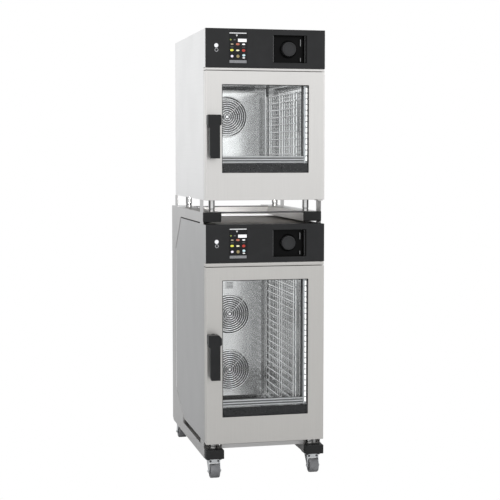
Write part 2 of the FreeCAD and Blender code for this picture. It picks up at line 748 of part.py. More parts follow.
def make_arms():
    """Two arms over the lower oven and two under it, each on its side plate."""
    deck = "upper_floor - leg_high"
    arms = []
    for side, tag in ((-1, "left"), (1, "right")):
        arms.append(channel(f"deck_arm_{tag}", side, ("face_y + arm_front + 10", "face_y + spine_outer"),
                            f"{deck} - arm_high", deck))
        arms.append(channel(f"base_arm_{tag}", side, ("face_y + cap_long", "face_y + spine_outer"),
                            "castor_high", "castor_high + base_arm_high"))
    keep("frame_arms", group("arm_set", *arms))


def make_cross_rails():
    """Rails across the frame: a thin tie in front and a deep rail behind, above and below."""
    deck = "upper_floor - leg_high"
    span = ("-casing_half + arm_wide", "casing_half - arm_wide")
    tie = block("deck_front_tie", span, ("face_y + 66", "face_y + 96"), (f"{deck} - tie_high", deck))
    rear = block("deck_rear_rail", span, ("face_y + 700", "face_y + 740"), (f"{deck} - arm_high", deck))
    groove = block("deck_rear_groove", span, ("face_y + 695", "face_y + 703"),
                   (f"{deck} - 27", f"{deck} - 15"))
    base_top = "castor_high + base_arm_high"
    base_tie = block("base_front_rail", span, ("face_y + 48", "face_y + 88"),
                     (f"{base_top} - 3", f"{base_top} + 14"))
    base_rear = block("base_rear_rail", span, ("face_y + 770", "face_y + 810"), ("castor_high", base_top))
    keep("cross_rails", group("rail_set", tie, cut("deck_rear_bar", rear, groove), base_tie, base_rear))


def make_end_caps():
    """Moulded plugs on the front ends of the four arms."""
    deck = "upper_floor - leg_high"
    caps = []
    for side, tag in ((-1, "left"), (1, "right")):
        inner = f"{side} * (casing_half - arm_wide - 1)"
        outer = f"{side} * (casing_half + plate_thick)"
        x = (outer, inner) if side < 0 else (inner, outer)
        caps.append(block(f"deck_cap_{tag}", x, ("face_y + arm_front", "face_y + arm_front + 5"),
                          (f"{deck} - arm_high", f"{deck} + 0.5")))
        caps.append(block(f"deck_plug_{tag}", (f"{x[0]} + 4", f"{x[1]} - 4"),
                          ("face_y + arm_front + 5", "face_y + arm_front + 10"),
                          (f"{deck} - arm_high + 2", f"{deck} - 3")))
        caps.append(block(f"base_cap_{tag}", x, ("face_y", "face_y + cap_long"),
                          ("castor_high", "castor_high + base_arm_high")))
    keep("end_caps", group("cap_set", *caps))


# ---------------------------------------------------------------- castors

CASTORS = [("front_left", -1, "castor_front", -1), ("front_right", 1, "castor_front", -1),
           ("rear_left", -1, "castor_rear", 1), ("rear_right", 1, "castor_rear", 1)]


def make_castor_plates():
    """Each castor's top plate with its ball race and headed king pin."""
    plates = []
    for name, side, end, _ in CASTORS:
        x, y = f"{side} * castor_x", f"face_y + {end}"
        inner = f"{side} * (casing_half - arm_wide)"
        outer = f"{side} * casing_half"
        plate = block(f"{name}_plate", (outer, inner) if side < 0 else (inner, outer),
                      (f"{y} - 32", f"{y} + 32"), ("castor_high - 3", "castor_high"))
        race = rod(f"{name}_race", "z", 18, 3, x, y, "castor_high - 5.2")
        pin = rod(f"{name}_king_pin", "z", "king_pin", 14, x, y, "castor_high - 16")
        nut = rod(f"{name}_pin_head", "z", 8.5, 3, x, y, "castor_high - 16")
        plates.append(fuse(f"{name}_plate_set", plate, race, pin, nut))
    keep("castor_plates", group("castor_plate_set", *plates))


def make_fork(name, side, end, trail):
    """A pressed fork on the king pin, with the wheel's axle across it."""
    reach = f"{trail} * castor_trail"
    body = new_body(f"{name}_fork_sheet", f"{side} * castor_x - wheel_wide / 2 - fork_gap - fork_wall",
                    f"face_y + {end}", 0)
    cheek = outline(body, f"{name}_cheek", "YZ_Plane", [
        (f"{trail} * -20", "castor_high - 5.5"), (f"{trail} * 24", "castor_high - 5.5"),
        (f"{reach} + {trail} * 12", "wheel_radius + 6"), (f"{reach} + {trail} * 7", "wheel_radius - 9"),
        (f"{reach} - {trail} * 7", "wheel_radius - 9"), (f"{reach} - {trail} * 13", "wheel_radius + 6"),
        (f"{trail} * -20", "castor_high - 18")])
    pad(body, cheek, "wheel_wide + 2 * (fork_gap + fork_wall)")
    x, y = f"{side} * castor_x", f"face_y + {end}"
    gap = block(f"{name}_fork_gap", (f"{x} - wheel_wide / 2 - fork_gap", f"{x} + wheel_wide / 2 + fork_gap"),
                (f"{y} - 60", f"{y} + 60"), (0, "castor_high - 10"))
    bore = rod(f"{name}_fork_bore", "z", "king_pin + running_gap", 20, x, y, "castor_high - 15")
    axle = rod(f"{name}_axle", "x", "axle_radius", "wheel_wide + 13",
               f"{x} - wheel_wide / 2 - 6.5", f"{y} + {reach}", "wheel_radius")
    keep(f"castor_{name}_fork", fuse(f"{name}_fork", cut(f"{name}_fork_cut", body, gap, bore), axle))


def make_wheel(name, side, end, trail):
    """A castor wheel with a rounded tread and a hub bored for the axle."""
    body = new_body(f"{name}_wheel_body", f"{side} * castor_x", f"face_y + {end} + {trail} * castor_trail",
                    "wheel_radius")
    half = "wheel_wide / 2"
    bore = "axle_radius + running_gap"
    profile = outline(body, f"{name}_wheel_half", "XY_Plane", [
        (f"-{half}", bore), (f"-{half}", 10), (f"-{half} + 4", 12), (f"-{half} + 4", "wheel_radius - 8"),
        (f"-{half}", "wheel_radius - 6"), (f"-{half}", "wheel_radius - 2.5"),
        (f"-{half} + 3", "wheel_radius"),
        (f"{half} - 3", "wheel_radius"), (half, "wheel_radius - 2.5"), (half, "wheel_radius - 6"),
        (f"{half} - 4", "wheel_radius - 8"), (f"{half} - 4", 12), (half, 10), (half, bore)])
    revolve(body, profile, "H_Axis")
    keep(f"castor_{name}_wheel", body)


# ---------------------------------------------------------------- services

def make_services():
    """At the rear of each oven: a drain stub, a water inlet and a cable gland."""
    ports = []
    for oven in ("upper", "lower"):
        for port, radius, length, x, z in (
                ("drain", "drain_radius", "drain_long", -150, 70),
                ("inlet", "inlet_radius", "inlet_long", 90, 60),
                ("gland", "gland_radius", "gland_long", 180, 70)):
            ports.append(rod(f"{oven}_{port}", "y", radius, length, x, CASING_REAR, f"{oven}_floor + {z}"))
    keep("service_ports", group("port_set", *ports))


# ---------------------------------------------------------------- build and export

def build():
    fill_sheet()
    for oven, rungs in (("upper", 12), ("lower", 19)):
        make_casing(oven)
        make_head_rail(oven)
        make_cavity(oven)
        make_gasket(oven)
        make_baffle(oven)
        make_guards(oven)
        for name, x, z in fan_places(oven):
            make_fan(name, x, z)
        make_racks(oven, rungs)
        make_panel(oven)
        make_knob(oven)
        make_button(oven)
        make_door(oven)
        make_glass(oven)
        make_handle(oven)
    places = fan_places("upper") + fan_places("lower")
    make_motors(places)
    make_heaters(places)
    make_legs("upper", "upper_legs", "leg", "upper_floor - leg_high")
    make_legs("lower", "lower_feet", "foot", "castor_high + base_arm_high")
    make_side_plate("left_side_plate", -1)
    make_side_plate("right_side_plate", 1)
    make_arms()
    make_cross_rails()
    make_end_caps()
    make_castor_plates()
    for name, side, end, trail in CASTORS:
        make_fork(name, side, end, trail)
        make_wheel(name, side, end, trail)
    make_services()
    doc.recompute()


def check_and_export():
    """Stop on any failed feature or bad shape, then write one STEP file per sub-part."""
    for item in doc.Objects:
        if "Invalid" in item.State or "Error" in item.State:
            raise RuntimeError(f"{item.Label} failed: {item.State}")
    bad = [item.Label for item in sub_parts
           if item.Shape.isNull() or not item.Shape.isValid() or not item.Shape.Solids]
    if bad:
        raise RuntimeError("no valid solid in " + ", ".join(bad))
    os.makedirs("parts", exist_ok=True)
    for item in sub_parts:
        item.Shape.exportStep(f"parts/{item.Label}.step")
        print(f"{item.Label}: {len(item.Shape.Solids)} solids, {item.Shape.Volume / 1000:.1f} cm3")
    print(len(sub_parts), "sub-parts")


build()
check_and_export()
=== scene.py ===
import json
import math

import bmesh
import bpy
from bmesh import ops
from mathutils import Matrix, Vector


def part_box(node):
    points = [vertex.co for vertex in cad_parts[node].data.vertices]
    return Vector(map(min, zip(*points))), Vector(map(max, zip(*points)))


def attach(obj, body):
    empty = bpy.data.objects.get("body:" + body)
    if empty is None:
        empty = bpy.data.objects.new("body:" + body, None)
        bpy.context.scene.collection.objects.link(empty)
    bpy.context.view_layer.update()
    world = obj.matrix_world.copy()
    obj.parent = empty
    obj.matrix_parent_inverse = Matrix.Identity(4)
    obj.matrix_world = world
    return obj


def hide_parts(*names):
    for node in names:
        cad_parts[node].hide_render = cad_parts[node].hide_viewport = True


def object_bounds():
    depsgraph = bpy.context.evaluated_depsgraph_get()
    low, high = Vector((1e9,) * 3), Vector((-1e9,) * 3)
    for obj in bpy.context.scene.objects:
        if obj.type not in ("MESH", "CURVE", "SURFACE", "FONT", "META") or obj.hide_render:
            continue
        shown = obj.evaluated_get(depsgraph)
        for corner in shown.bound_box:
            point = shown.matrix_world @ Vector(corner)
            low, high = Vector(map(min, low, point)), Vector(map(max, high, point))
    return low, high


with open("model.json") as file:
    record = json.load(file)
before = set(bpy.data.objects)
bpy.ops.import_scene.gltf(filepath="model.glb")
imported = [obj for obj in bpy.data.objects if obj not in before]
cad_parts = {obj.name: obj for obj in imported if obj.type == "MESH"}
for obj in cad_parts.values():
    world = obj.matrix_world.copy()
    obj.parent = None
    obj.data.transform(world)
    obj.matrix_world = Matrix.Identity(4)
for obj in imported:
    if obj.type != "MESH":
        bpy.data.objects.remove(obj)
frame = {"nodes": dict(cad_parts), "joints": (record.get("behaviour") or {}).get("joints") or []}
cad_low, cad_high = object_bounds()

# Two combi steamer ovens on a wheeled stacking frame. Metres, +Z up, doors face -Y.
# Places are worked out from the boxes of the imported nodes.

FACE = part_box("upper_door_frame")[0].y          # front face of doors and panels
CASING_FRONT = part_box("upper_left_side")[0].y
OVENS = ("upper", "lower")
SHEET = 0.0015              # thickness of the cavity's sheet
BAND_HIGH = 0.041           # printed band at the foot of each window
DECK_SETBACK = 0.05         # doors to the deck's front caps
CASTOR_TRAIL = 0.022        # swivel axis to axle


# ---------------------------------------------------------------- materials

def new_material(name):
    material = bpy.data.materials.new(name)
    material.use_nodes = True
    tree = material.node_tree
    return material, tree, tree.nodes["Principled BSDF"]


def feed(item, socket, value):
    """Join another node's output to one of a node's inputs."""
    item.id_data.links.new(value, item.inputs[socket])


def pattern(tree, scale, detail=3.0):
    """A noise on Object coordinates, stretched by a scale for each axis."""
    place = tree.nodes.new("ShaderNodeTexCoord")
    mapping = tree.nodes.new("ShaderNodeMapping")
    mapping.inputs["Scale"].default_value = scale
    feed(mapping, "Vector", place.outputs["Object"])
    noise = tree.nodes.new("ShaderNodeTexNoise")
    noise.inputs["Scale"].default_value = 1.0
    noise.inputs["Detail"].default_value = detail
    noise.inputs["Roughness"].default_value = 0.55
    feed(noise, "Vector", mapping.outputs["Vector"])
    return noise.outputs[0]


def spread(source, low, high, start=0.3, stop=0.7):
    """Map a pattern's middle range onto low to high."""
    tree = source.id_data
    ramp = tree.nodes.new("ShaderNodeMapRange")
    ramp.inputs["From Min"].default_value = start
    ramp.inputs["From Max"].default_value = stop
    ramp.inputs["To Min"].default_value = low
    ramp.inputs["To Max"].default_value = high
    feed(ramp, "Value", source)
    return ramp.outputs["Result"]


def maths(tree, operation, *terms):
    """A maths node fed with numbers or other nodes' values."""
    made = tree.nodes.new("ShaderNodeMath")
    made.operation = operation
    for socket, term in zip(made.inputs, terms):
        if isinstance(term, bpy.types.NodeSocket):
            tree.links.new(term, socket)
        else:
            socket.default_value = term
    return made.outputs["Value"]


def mix_colour(factor, first, second):
    """Blend two colours, given as numbers or as other nodes' colours."""
    tree = factor.id_data
    mix = tree.nodes.new("ShaderNodeMix")
    mix.data_type = "RGBA"
    feed(mix, "Factor", factor)
    for socket, value in ((mix.inputs["A"], first), (mix.inputs["B"], second)):
        if isinstance(value, bpy.types.NodeSocket):
            tree.links.new(value, socket)
        else:
            socket.default_value = (*value, 1.0)
    return mix.outputs["Result"]


def add_bump(shader, height, strength, distance):
    """Raise a pattern a little from a surface."""
    tree = shader.id_data
    bump = tree.nodes.new("ShaderNodeBump")
    bump.inputs["Strength"].default_value = strength
    bump.inputs["Distance"].default_value = distance
    feed(bump, "Height", height)
    feed(shader, "Normal", bump.outputs["Normal"])


def shade(colour, factor):
    return tuple(channel * factor for channel in colour)


def steel(name, colour, rough, grain, depth=0.00002, metal=1.0, smudge=0.05):
    """Brushed stainless sheet: fine grain along one axis and faint broad smudges."""
    material, tree, shader = new_material(name)
    shader.inputs["Metallic"].default_value = metal
    streaks = pattern(tree, grain, detail=4.0)
    smears = pattern(tree, (5.0, 5.0, 4.0), detail=2.0)
    tone = mix_colour(spread(streaks, 0.0, 1.0), shade(colour, 0.955), shade(colour, 1.02))
    worn = mix_colour(spread(smears, 0.0, 0.5, 0.45, 0.75), tone, shade(colour, 0.93))
    feed(shader, "Base Color", worn)
    polish = maths(tree, "ADD", spread(streaks, rough - 0.04, rough + 0.04), spread(smears, 0.0, smudge))
    feed(shader, "Roughness", polish)
    add_bump(shader, streaks, 0.12, depth)
    return material


def polished(name, colour, rough):
    """Bright drawn wire or tube, with slight tarnish."""
    material, tree, shader = new_material(name)
    shader.inputs["Metallic"].default_value = 1.0
    tarnish = pattern(tree, (60.0, 60.0, 60.0), detail=3.0)
    feed(shader, "Base Color", mix_colour(spread(tarnish, 0.0, 1.0), shade(colour, 0.86), colour))
    feed(shader, "Roughness", spread(tarnish, rough, rough + 0.12))
    add_bump(shader, tarnish, 0.05, 0.0002)
    return material


def painted_reflection_tube(name, colour, rough):
    """Bright round tube with a painted reflection: pale down its middle, with a painted dark band towards
    each side, by how squarely each spot faces the view.
    """
    material, tree, shader = new_material(name)
    shader.inputs["Metallic"].default_value = 1.0
    turned = tree.nodes.new("ShaderNodeLayerWeight")
    turned.inputs["Blend"].default_value = 0.5
    ramp = tree.nodes.new("ShaderNodeValToRGB")
    reflection_bands = ramp.color_ramp
    reflection_bands.elements[0].position, reflection_bands.elements[0].color = 0.05, (*colour, 1.0)
    reflection_bands.elements[1].position, reflection_bands.elements[1].color = 0.16, (*shade(colour, 0.22), 1.0)
    for place, factor in ((0.34, 0.2), (0.6, 0.62)):
        reflection_bands.elements.new(place).color = (*shade(colour, factor), 1.0)
    feed(ramp, "Fac", turned.outputs["Facing"])
    tarnish = pattern(tree, (40.0, 40.0, 40.0), detail=3.0)
    dimmed = mix_colour(spread(tarnish, 0.0, 0.2), ramp.outputs["Color"], shade(colour, 0.5))
    feed(shader, "Base Color", dimmed)
    feed(shader, "Roughness", spread(tarnish, rough, rough + 0.08))
    return material


def plastic(name, colour, rough, grain=900.0, depth=0.00006, wear=1.25, shine=0.28):
    """Moulded plastic with a fine spark-eroded texture, a little paler where it is rubbed."""
    material, tree, shader = new_material(name)
    shader.inputs["Specular IOR Level"].default_value = shine
    texture = pattern(tree, (grain, grain, grain), detail=2.0)
    rubbed = pattern(tree, (14.0, 14.0, 14.0), detail=3.0)
    worn = spread(rubbed, 0.0, 1.0, 0.45, 0.75)
    feed(shader, "Base Color", mix_colour(worn, colour, shade(colour, wear)))
    feed(shader, "Roughness", spread(rubbed, rough + 0.05, rough - 0.06))
    add_bump(shader, texture, 0.3, depth)
    return material


def wavy(name, colour, rough, waves, height):
    """Bright rolled sheet that bends what it mirrors in slow waves."""
    material, tree, shader = new_material(name)
    shader.inputs["Metallic"].default_value = 1.0
    swell = pattern(tree, (waves, waves, waves), detail=1.0)
    haze = pattern(tree, (9.0, 9.0, 7.0), detail=3.0)
    feed(shader, "Base Color", mix_colour(spread(haze, 0.0, 1.0), shade(colour, 0.9), colour))
    feed(shader, "Roughness", spread(haze, rough, rough + 0.03))
    add_bump(shader, swell, 0.35, height)
    return material


def rubber(name, colour, dust):
    """Dull rubber with dust caught in its surface."""
    material, tree, shader = new_material(name)
    shader.inputs["Specular IOR Level"].default_value = 0.25
    cells = pattern(tree, (220.0, 220.0, 220.0), detail=4.0)
    film = pattern(tree, (30.0, 30.0, 30.0), detail=3.0)
    feed(shader, "Base Color", mix_colour(spread(film, 0.0, 1.0, 0.4, 0.7), colour, dust))
    feed(shader, "Roughness", spread(cells, 0.62, 0.85))
    add_bump(shader, cells, 0.35, 0.0003)
    return material


HEAD_ON_MIRROR = 0.04       # share of light that glass mirrors when seen square on


def pane(name, tint, film=0.015):
    """Clear glass that lets light straight through and mirrors more at a slant."""
    material, tree, shader = new_material(name)
    tree.nodes.remove(shader)
    clear = tree.nodes.new("ShaderNodeBsdfTransparent")
    clear.inputs["Color"].default_value = (*tint, 1.0)
    gloss = tree.nodes.new("ShaderNodeBsdfGlossy")
    gloss.inputs["Color"].default_value = (0.4, 0.4, 0.4, 1.0)
    smears = pattern(tree, (9.0, 9.0, 7.0), detail=4.0)
    feed(gloss, "Roughness", spread(smears, film, film + 0.05))
    slant = tree.nodes.new("ShaderNodeLayerWeight")
    slant.inputs["Blend"].default_value = 0.5
    steep = maths(tree, "POWER", slant.outputs["Facing"], 5.0)
    mirrored = maths(tree, "MULTIPLY_ADD", steep, 1.0 - HEAD_ON_MIRROR, HEAD_ON_MIRROR)
    mix = tree.nodes.new("ShaderNodeMixShader")
    feed(mix, "Fac", mirrored)
    feed(mix, 1, clear.outputs["BSDF"])
    feed(mix, 2, gloss.outputs["BSDF"])
    tree.links.new(mix.outputs["Shader"], tree.nodes["Material Output"].inputs["Surface"])
    return material


def glow(name, colour, strength, speckle=0.12):
    """A lit surface whose brightness varies a little."""
    material, tree, shader = new_material(name)
    shader.inputs["Roughness"].default_value = 0.3
    shader.inputs["Emission Strength"].default_value = strength
    grains = pattern(tree, (260.0, 260.0, 260.0), detail=2.0)
    tone = mix_colour(spread(grains, 0.0, 1.0), shade(colour, 1.0 - speckle), colour)
    feed(shader, "Base Color", tone)
    feed(shader, "Emission Color", tone)
    return material


ALONG_X = (3.0, 60.0, 900.0)
ALONG_Y = (60.0, 3.0, 900.0)
ALONG_Z = (900.0, 60.0, 3.0)

# Lit and shaded copies of one brushed steel: the upper oven's sheets are painted lighter and the lower oven's
# darker, and each oven's sides are painted apart from its front, as painted light and shade.
upper_steel_painted_light = steel("upper_sheet_painted_light", (0.76, 0.74, 0.715), 0.36, ALONG_Z)
lower_steel_painted_shade = steel("lower_sheet_painted_shade", (0.66, 0.64, 0.61), 0.36, ALONG_Z)
upper_side_steel_painted_light = steel("upper_side_sheet_painted_light", (0.84, 0.83, 0.82), 0.4, ALONG_Y)
lower_side_steel_painted_shade = steel("lower_side_sheet_painted_shade", (0.52, 0.515, 0.51), 0.4, ALONG_Y)
# The lower oven's top is painted dark steel: painted shade under the upper oven.
lower_top_steel_painted_shade = steel("lower_top_sheet", (0.2, 0.185, 0.17), 0.45, ALONG_X)
frame_sheet = steel("frame_sheet", (0.57, 0.56, 0.55), 0.38, ALONG_Y)
cavity_sheet = wavy("cavity_sheet", (0.62, 0.62, 0.62), 0.17, 26.0, 0.0012)
baffle_sheet = wavy("baffle_sheet", (0.7, 0.7, 0.7), 0.17, 20.0, 0.0012)
# Dark steel for the pane rail's body: painted shade in the grooves between its bright ribs.
rail_groove_shade = steel("rail_groove_shade", (0.2, 0.2, 0.2), 0.4, ALONG_X)
rail_steel = steel("rail_ribs", (0.78, 0.78, 0.78), 0.26, ALONG_X)
# Dark steel for the liner behind the fan cover: painted shade in the plenum.
plenum_sheet_painted_shade = steel("plenum_sheet_painted_shade", (0.13, 0.13, 0.13), 0.35, ALONG_X)
# Dark steel for the fans: painted shade behind the guards, so the guard wires stand out.
fan_sheet_painted_shade = steel("fan_sheet_painted_shade", (0.16, 0.16, 0.16), 0.3, ALONG_X)
chrome_wire = polished("chromed_wire", (0.9, 0.9, 0.9), 0.14)
# The legs' dark bands are a painted reflection.
leg_tube = painted_reflection_tube("leg_tube", (0.86, 0.85, 0.84), 0.16)
# Pale grey metal for the pocket's strips and clips: painted highlights.
highlight_grey = polished("highlight_grey", (0.3, 0.3, 0.3), 0.35)
zinc = polished("zinc_plate", (0.76, 0.77, 0.78), 0.32)
dark_metal = polished("dark_screw", (0.12, 0.12, 0.125), 0.4)
heater_metal = polished("heater_tube", (0.2, 0.185, 0.17), 0.42)
panel_black = plastic("panel_black", (0.015, 0.015, 0.0155), 0.42, grain=1400.0)
# The pocket's black is darker and less glossy than the panel's: painted shade in the recess.
pocket_black_painted_shade = plastic("pocket_black_painted_shade", (0.003, 0.003, 0.003), 0.35, grain=1400.0, shine=0.1)
knob_black = plastic("knob_black", (0.026, 0.026, 0.027), 0.4)
handle_black = plastic("handle_black", (0.012, 0.012, 0.0125), 0.46)
cap_black = plastic("cap_black", (0.014, 0.014, 0.014), 0.55)
port_grey = plastic("port_grey", (0.14, 0.14, 0.145), 0.5)
motor_grey = plastic("motor_grey", (0.09, 0.095, 0.1), 0.45)
# Dark seal rubber, used for the window seals and also as painted shade: the door's rear edge strip and the
# seal that fills the gap to the casing.
seal_rubber_and_gap_shade = rubber("seal_rubber_and_gap_shade", (0.03, 0.03, 0.03), (0.05, 0.05, 0.05))
# Silicone grey for the cavity gasket, set pale to lighten it where it lies in shade: partly its own colour,
# partly painted light.
mouth_rubber_painted_light = rubber("mouth_rubber_painted_light", (0.42, 0.42, 0.42), (0.5, 0.5, 0.5))
wheel_rubber = rubber("wheel_rubber", (0.17, 0.17, 0.175), (0.25, 0.25, 0.255))
clear_glass = pane("clear_glass", (0.975, 0.98, 0.98))
black_print = plastic("black_print", (0.006, 0.006, 0.0065), 0.3, grain=8.0, depth=0.000001)
led_white = glow("led_white", (1.0, 0.99, 0.96), 1.6)
# The button's white cap and the printed ring below it are given a faint glow: painted light.
button_white = glow("button_white", (0.72, 0.72, 0.74), 0.42)
ring_grey_painted_glow = glow("ring_grey_painted_glow", (0.5, 0.5, 0.52), 0.25)


# ---------------------------------------------------------------- mesh helpers

def finish_piece(bm, name, body, materials, smooth=35.0, hides=None):
    """Turn a bmesh into a piece that rides on a body, in place of the CAD node it hides."""
    ops.remove_doubles(bm, verts=bm.verts, dist=1e-6)
    ops.recalc_face_normals(bm, faces=bm.faces)
    mesh = bpy.data.meshes.new(name)
    bm.to_mesh(mesh)
    bm.free()
    for material in materials if isinstance(materials, (list, tuple)) else [materials]:
        mesh.materials.append(material)
    mesh.shade_smooth()
    mesh.set_sharp_from_angle(angle=math.radians(smooth))
    place_piece(name, mesh, body, hides)


def place_piece(name, mesh, body, hides):
    piece = bpy.data.objects.new(name, mesh)
    bpy.context.scene.collection.objects.link(piece)
    flat = piece.modifiers.new("flat_faces", "WEIGHTED_NORMAL")
    flat.keep_sharp = True
    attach(piece, body)
    if hides:
        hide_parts(hides)


def merge_part(bm, part, material=0):
    """Add one closed part to a piece's bmesh, with its faces turned outwards."""
    ops.remove_doubles(part, verts=part.verts, dist=1e-6)
    ops.recalc_face_normals(part, faces=part.faces)
    for face in part.faces:
        face.material_index = material
    mesh = bpy.data.meshes.new("part")
    part.to_mesh(mesh)
    part.free()
    bm.from_mesh(mesh)
    bpy.data.meshes.remove(mesh)


def fresh_verts(made):
    """The corners that an extrusion has just made."""
    return [item for item in made["geom"] if isinstance(item, bmesh.types.BMVert)]


def round_edges(bm, edges, radius, segments=3):
    ops.bevel(bm, geom=list(edges), offset=radius, offset_type="OFFSET", segments=segments,
                    profile=0.5, affect="EDGES", clamp_overlap=True, material=-1)


def cube(low, high):
    bm = bmesh.new()
    low, high = Vector(low), Vector(high)
    ops.create_cube(bm, size=1.0)
    ops.scale(bm, vec=high - low, verts=bm.verts)
    ops.translate(bm, vec=(low + high) / 2, verts=bm.verts)
    return bm


def sharp_edges(bm, turn):
    """The edges at which a surface turns by more than an angle."""
    return [e for e in bm.edges if e.is_manifold and e.calc_face_angle() > turn]


def runs_along(edge, axis):
    run = edge.verts[1].co - edge.verts[0].co
    return abs(run[axis]) > 0.99 * run.length


def block(bm, low, high, radius=0.0, material=0, segments=2, upright=None):
    """A box with all its edges rounded, and its edges along one axis rounded more."""
    part = cube(low, high)
    if upright:
        axis, wide = upright
        round_edges(part, [e for e in part.edges if runs_along(e, axis)], wide, 5)
    if radius:
        round_edges(part, sharp_edges(part, 0.6), radius, segments)
    merge_part(bm, part, material)


AXIS_TURN = {
    "x": Matrix.Rotation(math.pi / 2, 4, "Y"),
    "y": Matrix.Rotation(-math.pi / 2, 4, "X"),
    "z": Matrix.Identity(4),
}


def lathe(bm, profile, centre, axis="z", steps=48, material=0, flip=False):
    """Turn (radius, along) points about an axis through centre."""
    part = bmesh.new()
    spots = [part.verts.new((radius, 0.0, -along if flip else along)) for radius, along in profile]
    edges = [part.edges.new(pair) for pair in zip(spots, spots[1:])]
    ops.spin(part, geom=spots + edges, cent=(0, 0, 0), axis=(0, 0, 1), dvec=(0, 0, 0),
                   angle=math.tau, steps=steps, use_merge=True, use_duplicate=False)
    ops.transform(part, matrix=Matrix.Translation(centre) @ AXIS_TURN[axis], verts=part.verts)
    merge_part(bm, part, material)


def rod(bm, start, end, radius, sides=10, material=0):
    """A straight round bar between two points."""
    start, end = Vector(start), Vector(end)
    run = end - start
    part = bmesh.new()
    turn = run.to_track_quat("Z", "Y").to_matrix().to_4x4()
    ops.create_cone(part, cap_ends=True, segments=sides, radius1=radius, radius2=radius,
                          depth=run.length, matrix=Matrix.Translation((start + end) / 2) @ turn)
    merge_part(bm, part, material)


def loop_wire(bm, centre, radius, wire, steps=72, sides=8, material=0):
    """A wire ring about an axis along Y."""
    part = bmesh.new()
    made = ops.create_circle(part, cap_ends=False, segments=sides, radius=wire)
    ops.rotate(part, cent=(0, 0, 0), matrix=Matrix.Rotation(math.pi / 2, 3, "X"), verts=made["verts"])
    ops.translate(part, vec=(radius, 0, 0), verts=made["verts"])
    ops.spin(part, geom=list(part.verts) + list(part.edges), cent=(0, 0, 0), axis=(0, 0, 1),
                   dvec=(0, 0, 0), angle=math.tau, steps=steps, use_merge=True, use_duplicate=False)
    ops.transform(part, matrix=Matrix.Translation(centre) @ AXIS_TURN["y"], verts=part.verts)
    merge_part(bm, part, material)


def prism(bm, points, axis, low, high, radius=0.0, material=0, segments=2, upright=0.0):
    """A flat outline pushed along an axis. Points are the other two coordinates in order."""
    part = bmesh.new()

    def place(pair):
        values = list(pair)
        values.insert(axis, low)
        return Vector(values)

    face = part.faces.new([part.verts.new(place(pair)) for pair in points])
    made = ops.extrude_face_region(part, geom=[face])
    shift = Vector((0, 0, 0))
    shift[axis] = high - low
    ops.translate(part, vec=shift, verts=fresh_verts(made))
    ops.recalc_face_normals(part, faces=part.faces)
    if upright:
        round_edges(part, [e for e in part.edges if runs_along(e, axis)], upright, 4)
    if radius:
        round_edges(part, sharp_edges(part, 0.5), radius, segments)
    merge_part(bm, part, material)


def slice_at(bm, axis, places):
    """Cut a whole bmesh across an axis at each place."""
    normal = Vector((0, 0, 0))
    normal[axis] = 1.0
    for place in places:
        ops.bisect_plane(bm, geom=list(bm.verts) + list(bm.edges) + list(bm.faces), dist=1e-7,
                               plane_co=normal * place, plane_no=normal)


def face_near(bm, point, normal):
    """The face that looks along normal and lies nearest to point."""
    normal = Vector(normal)
    facing = [f for f in bm.faces if f.normal.dot(normal) > 0.9]
    return min(facing, key=lambda f: (f.calc_center_median() - Vector(point)).length)


def slab_with_window(low, high, window, corner=0.0):
    """A slab with an opening through it along Y; window is (x low, x high, z low, z high)."""
    bm = cube(low, high)
    slice_at(bm, 0, window[:2])
    slice_at(bm, 2, window[2:])
    bm.normal_update()
    middle = ((window[0] + window[1]) / 2, (window[2] + window[3]) / 2)
    front = face_near(bm, (middle[0], low[1], middle[1]), (0, -1, 0))
    back = face_near(bm, (middle[0], high[1], middle[1]), (0, 1, 0))
    rims = list(front.edges) + list(back.edges)
    ops.delete(bm, geom=[front, back], context="FACES_ONLY")
    ops.bridge_loops(bm, edges=rims)
    ops.recalc_face_normals(bm, faces=bm.faces)
    if corner:
        slack = 1e-5
        inner = [e for e in bm.edges if runs_along(e, 1)
                 and window[0] - slack < e.verts[0].co.x < window[1] + slack
                 and window[2] - slack < e.verts[0].co.z < window[3] + slack]
        round_edges(bm, inner, corner, 4)
    return bm


def screw_head(bm, centre, axis="y", radius=0.004, out=-1, material=0):
    """A low domed screw head with a socket."""
    rise = 0.0012
    profile = [(0.0, 0.0003), (radius * 0.35, 0.0003), (radius * 0.45, rise), (radius * 0.8, rise),
               (radius, 0.0), (radius, -0.0005), (0.0, -0.0005)]
    lathe(bm, profile, centre, axis, steps=16, material=material, flip=out < 0)


def repaint(name, material):
    """Give a shown CAD node its finish."""
    data = frame["nodes"][name].data
    if not data.materials:
        data.materials.append(material)
    for index in range(len(data.materials)):
        data.materials[index] = material


# ---------------------------------------------------------------- oven casing

def make_side(oven, side, sheet):
    """A side sheet with softened edges."""
    name = f"{oven}_{side}_side"
    low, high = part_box(name)
    bm = bmesh.new()
    block(bm, low, high, radius=0.0007, segments=2)
    finish_piece(bm, f"{oven}_{side}_panel", "stack", sheet, hides=name)


def make_top(oven, sheet):
    """The top sheet, with a low pressed border."""
    name = f"{oven}_top_panel"
    low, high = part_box(name)
    bm = cube(low, high)
    slice_at(bm, 0, (low.x + 0.03, high.x - 0.03))
    slice_at(bm, 1, (low.y + 0.03, high.y - 0.03))
    bm.normal_update()
    field = face_near(bm, ((low.x + high.x) / 2, (low.y + high.y) / 2, high.z), (0, 0, 1))
    ops.inset_region(bm, faces=[field], thickness=0.004, depth=0.0)
    ops.translate(bm, vec=(0, 0, -0.0008), verts=field.verts)
    finish_piece(bm, f"{oven}_top_sheet", "stack", sheet, hides=name)


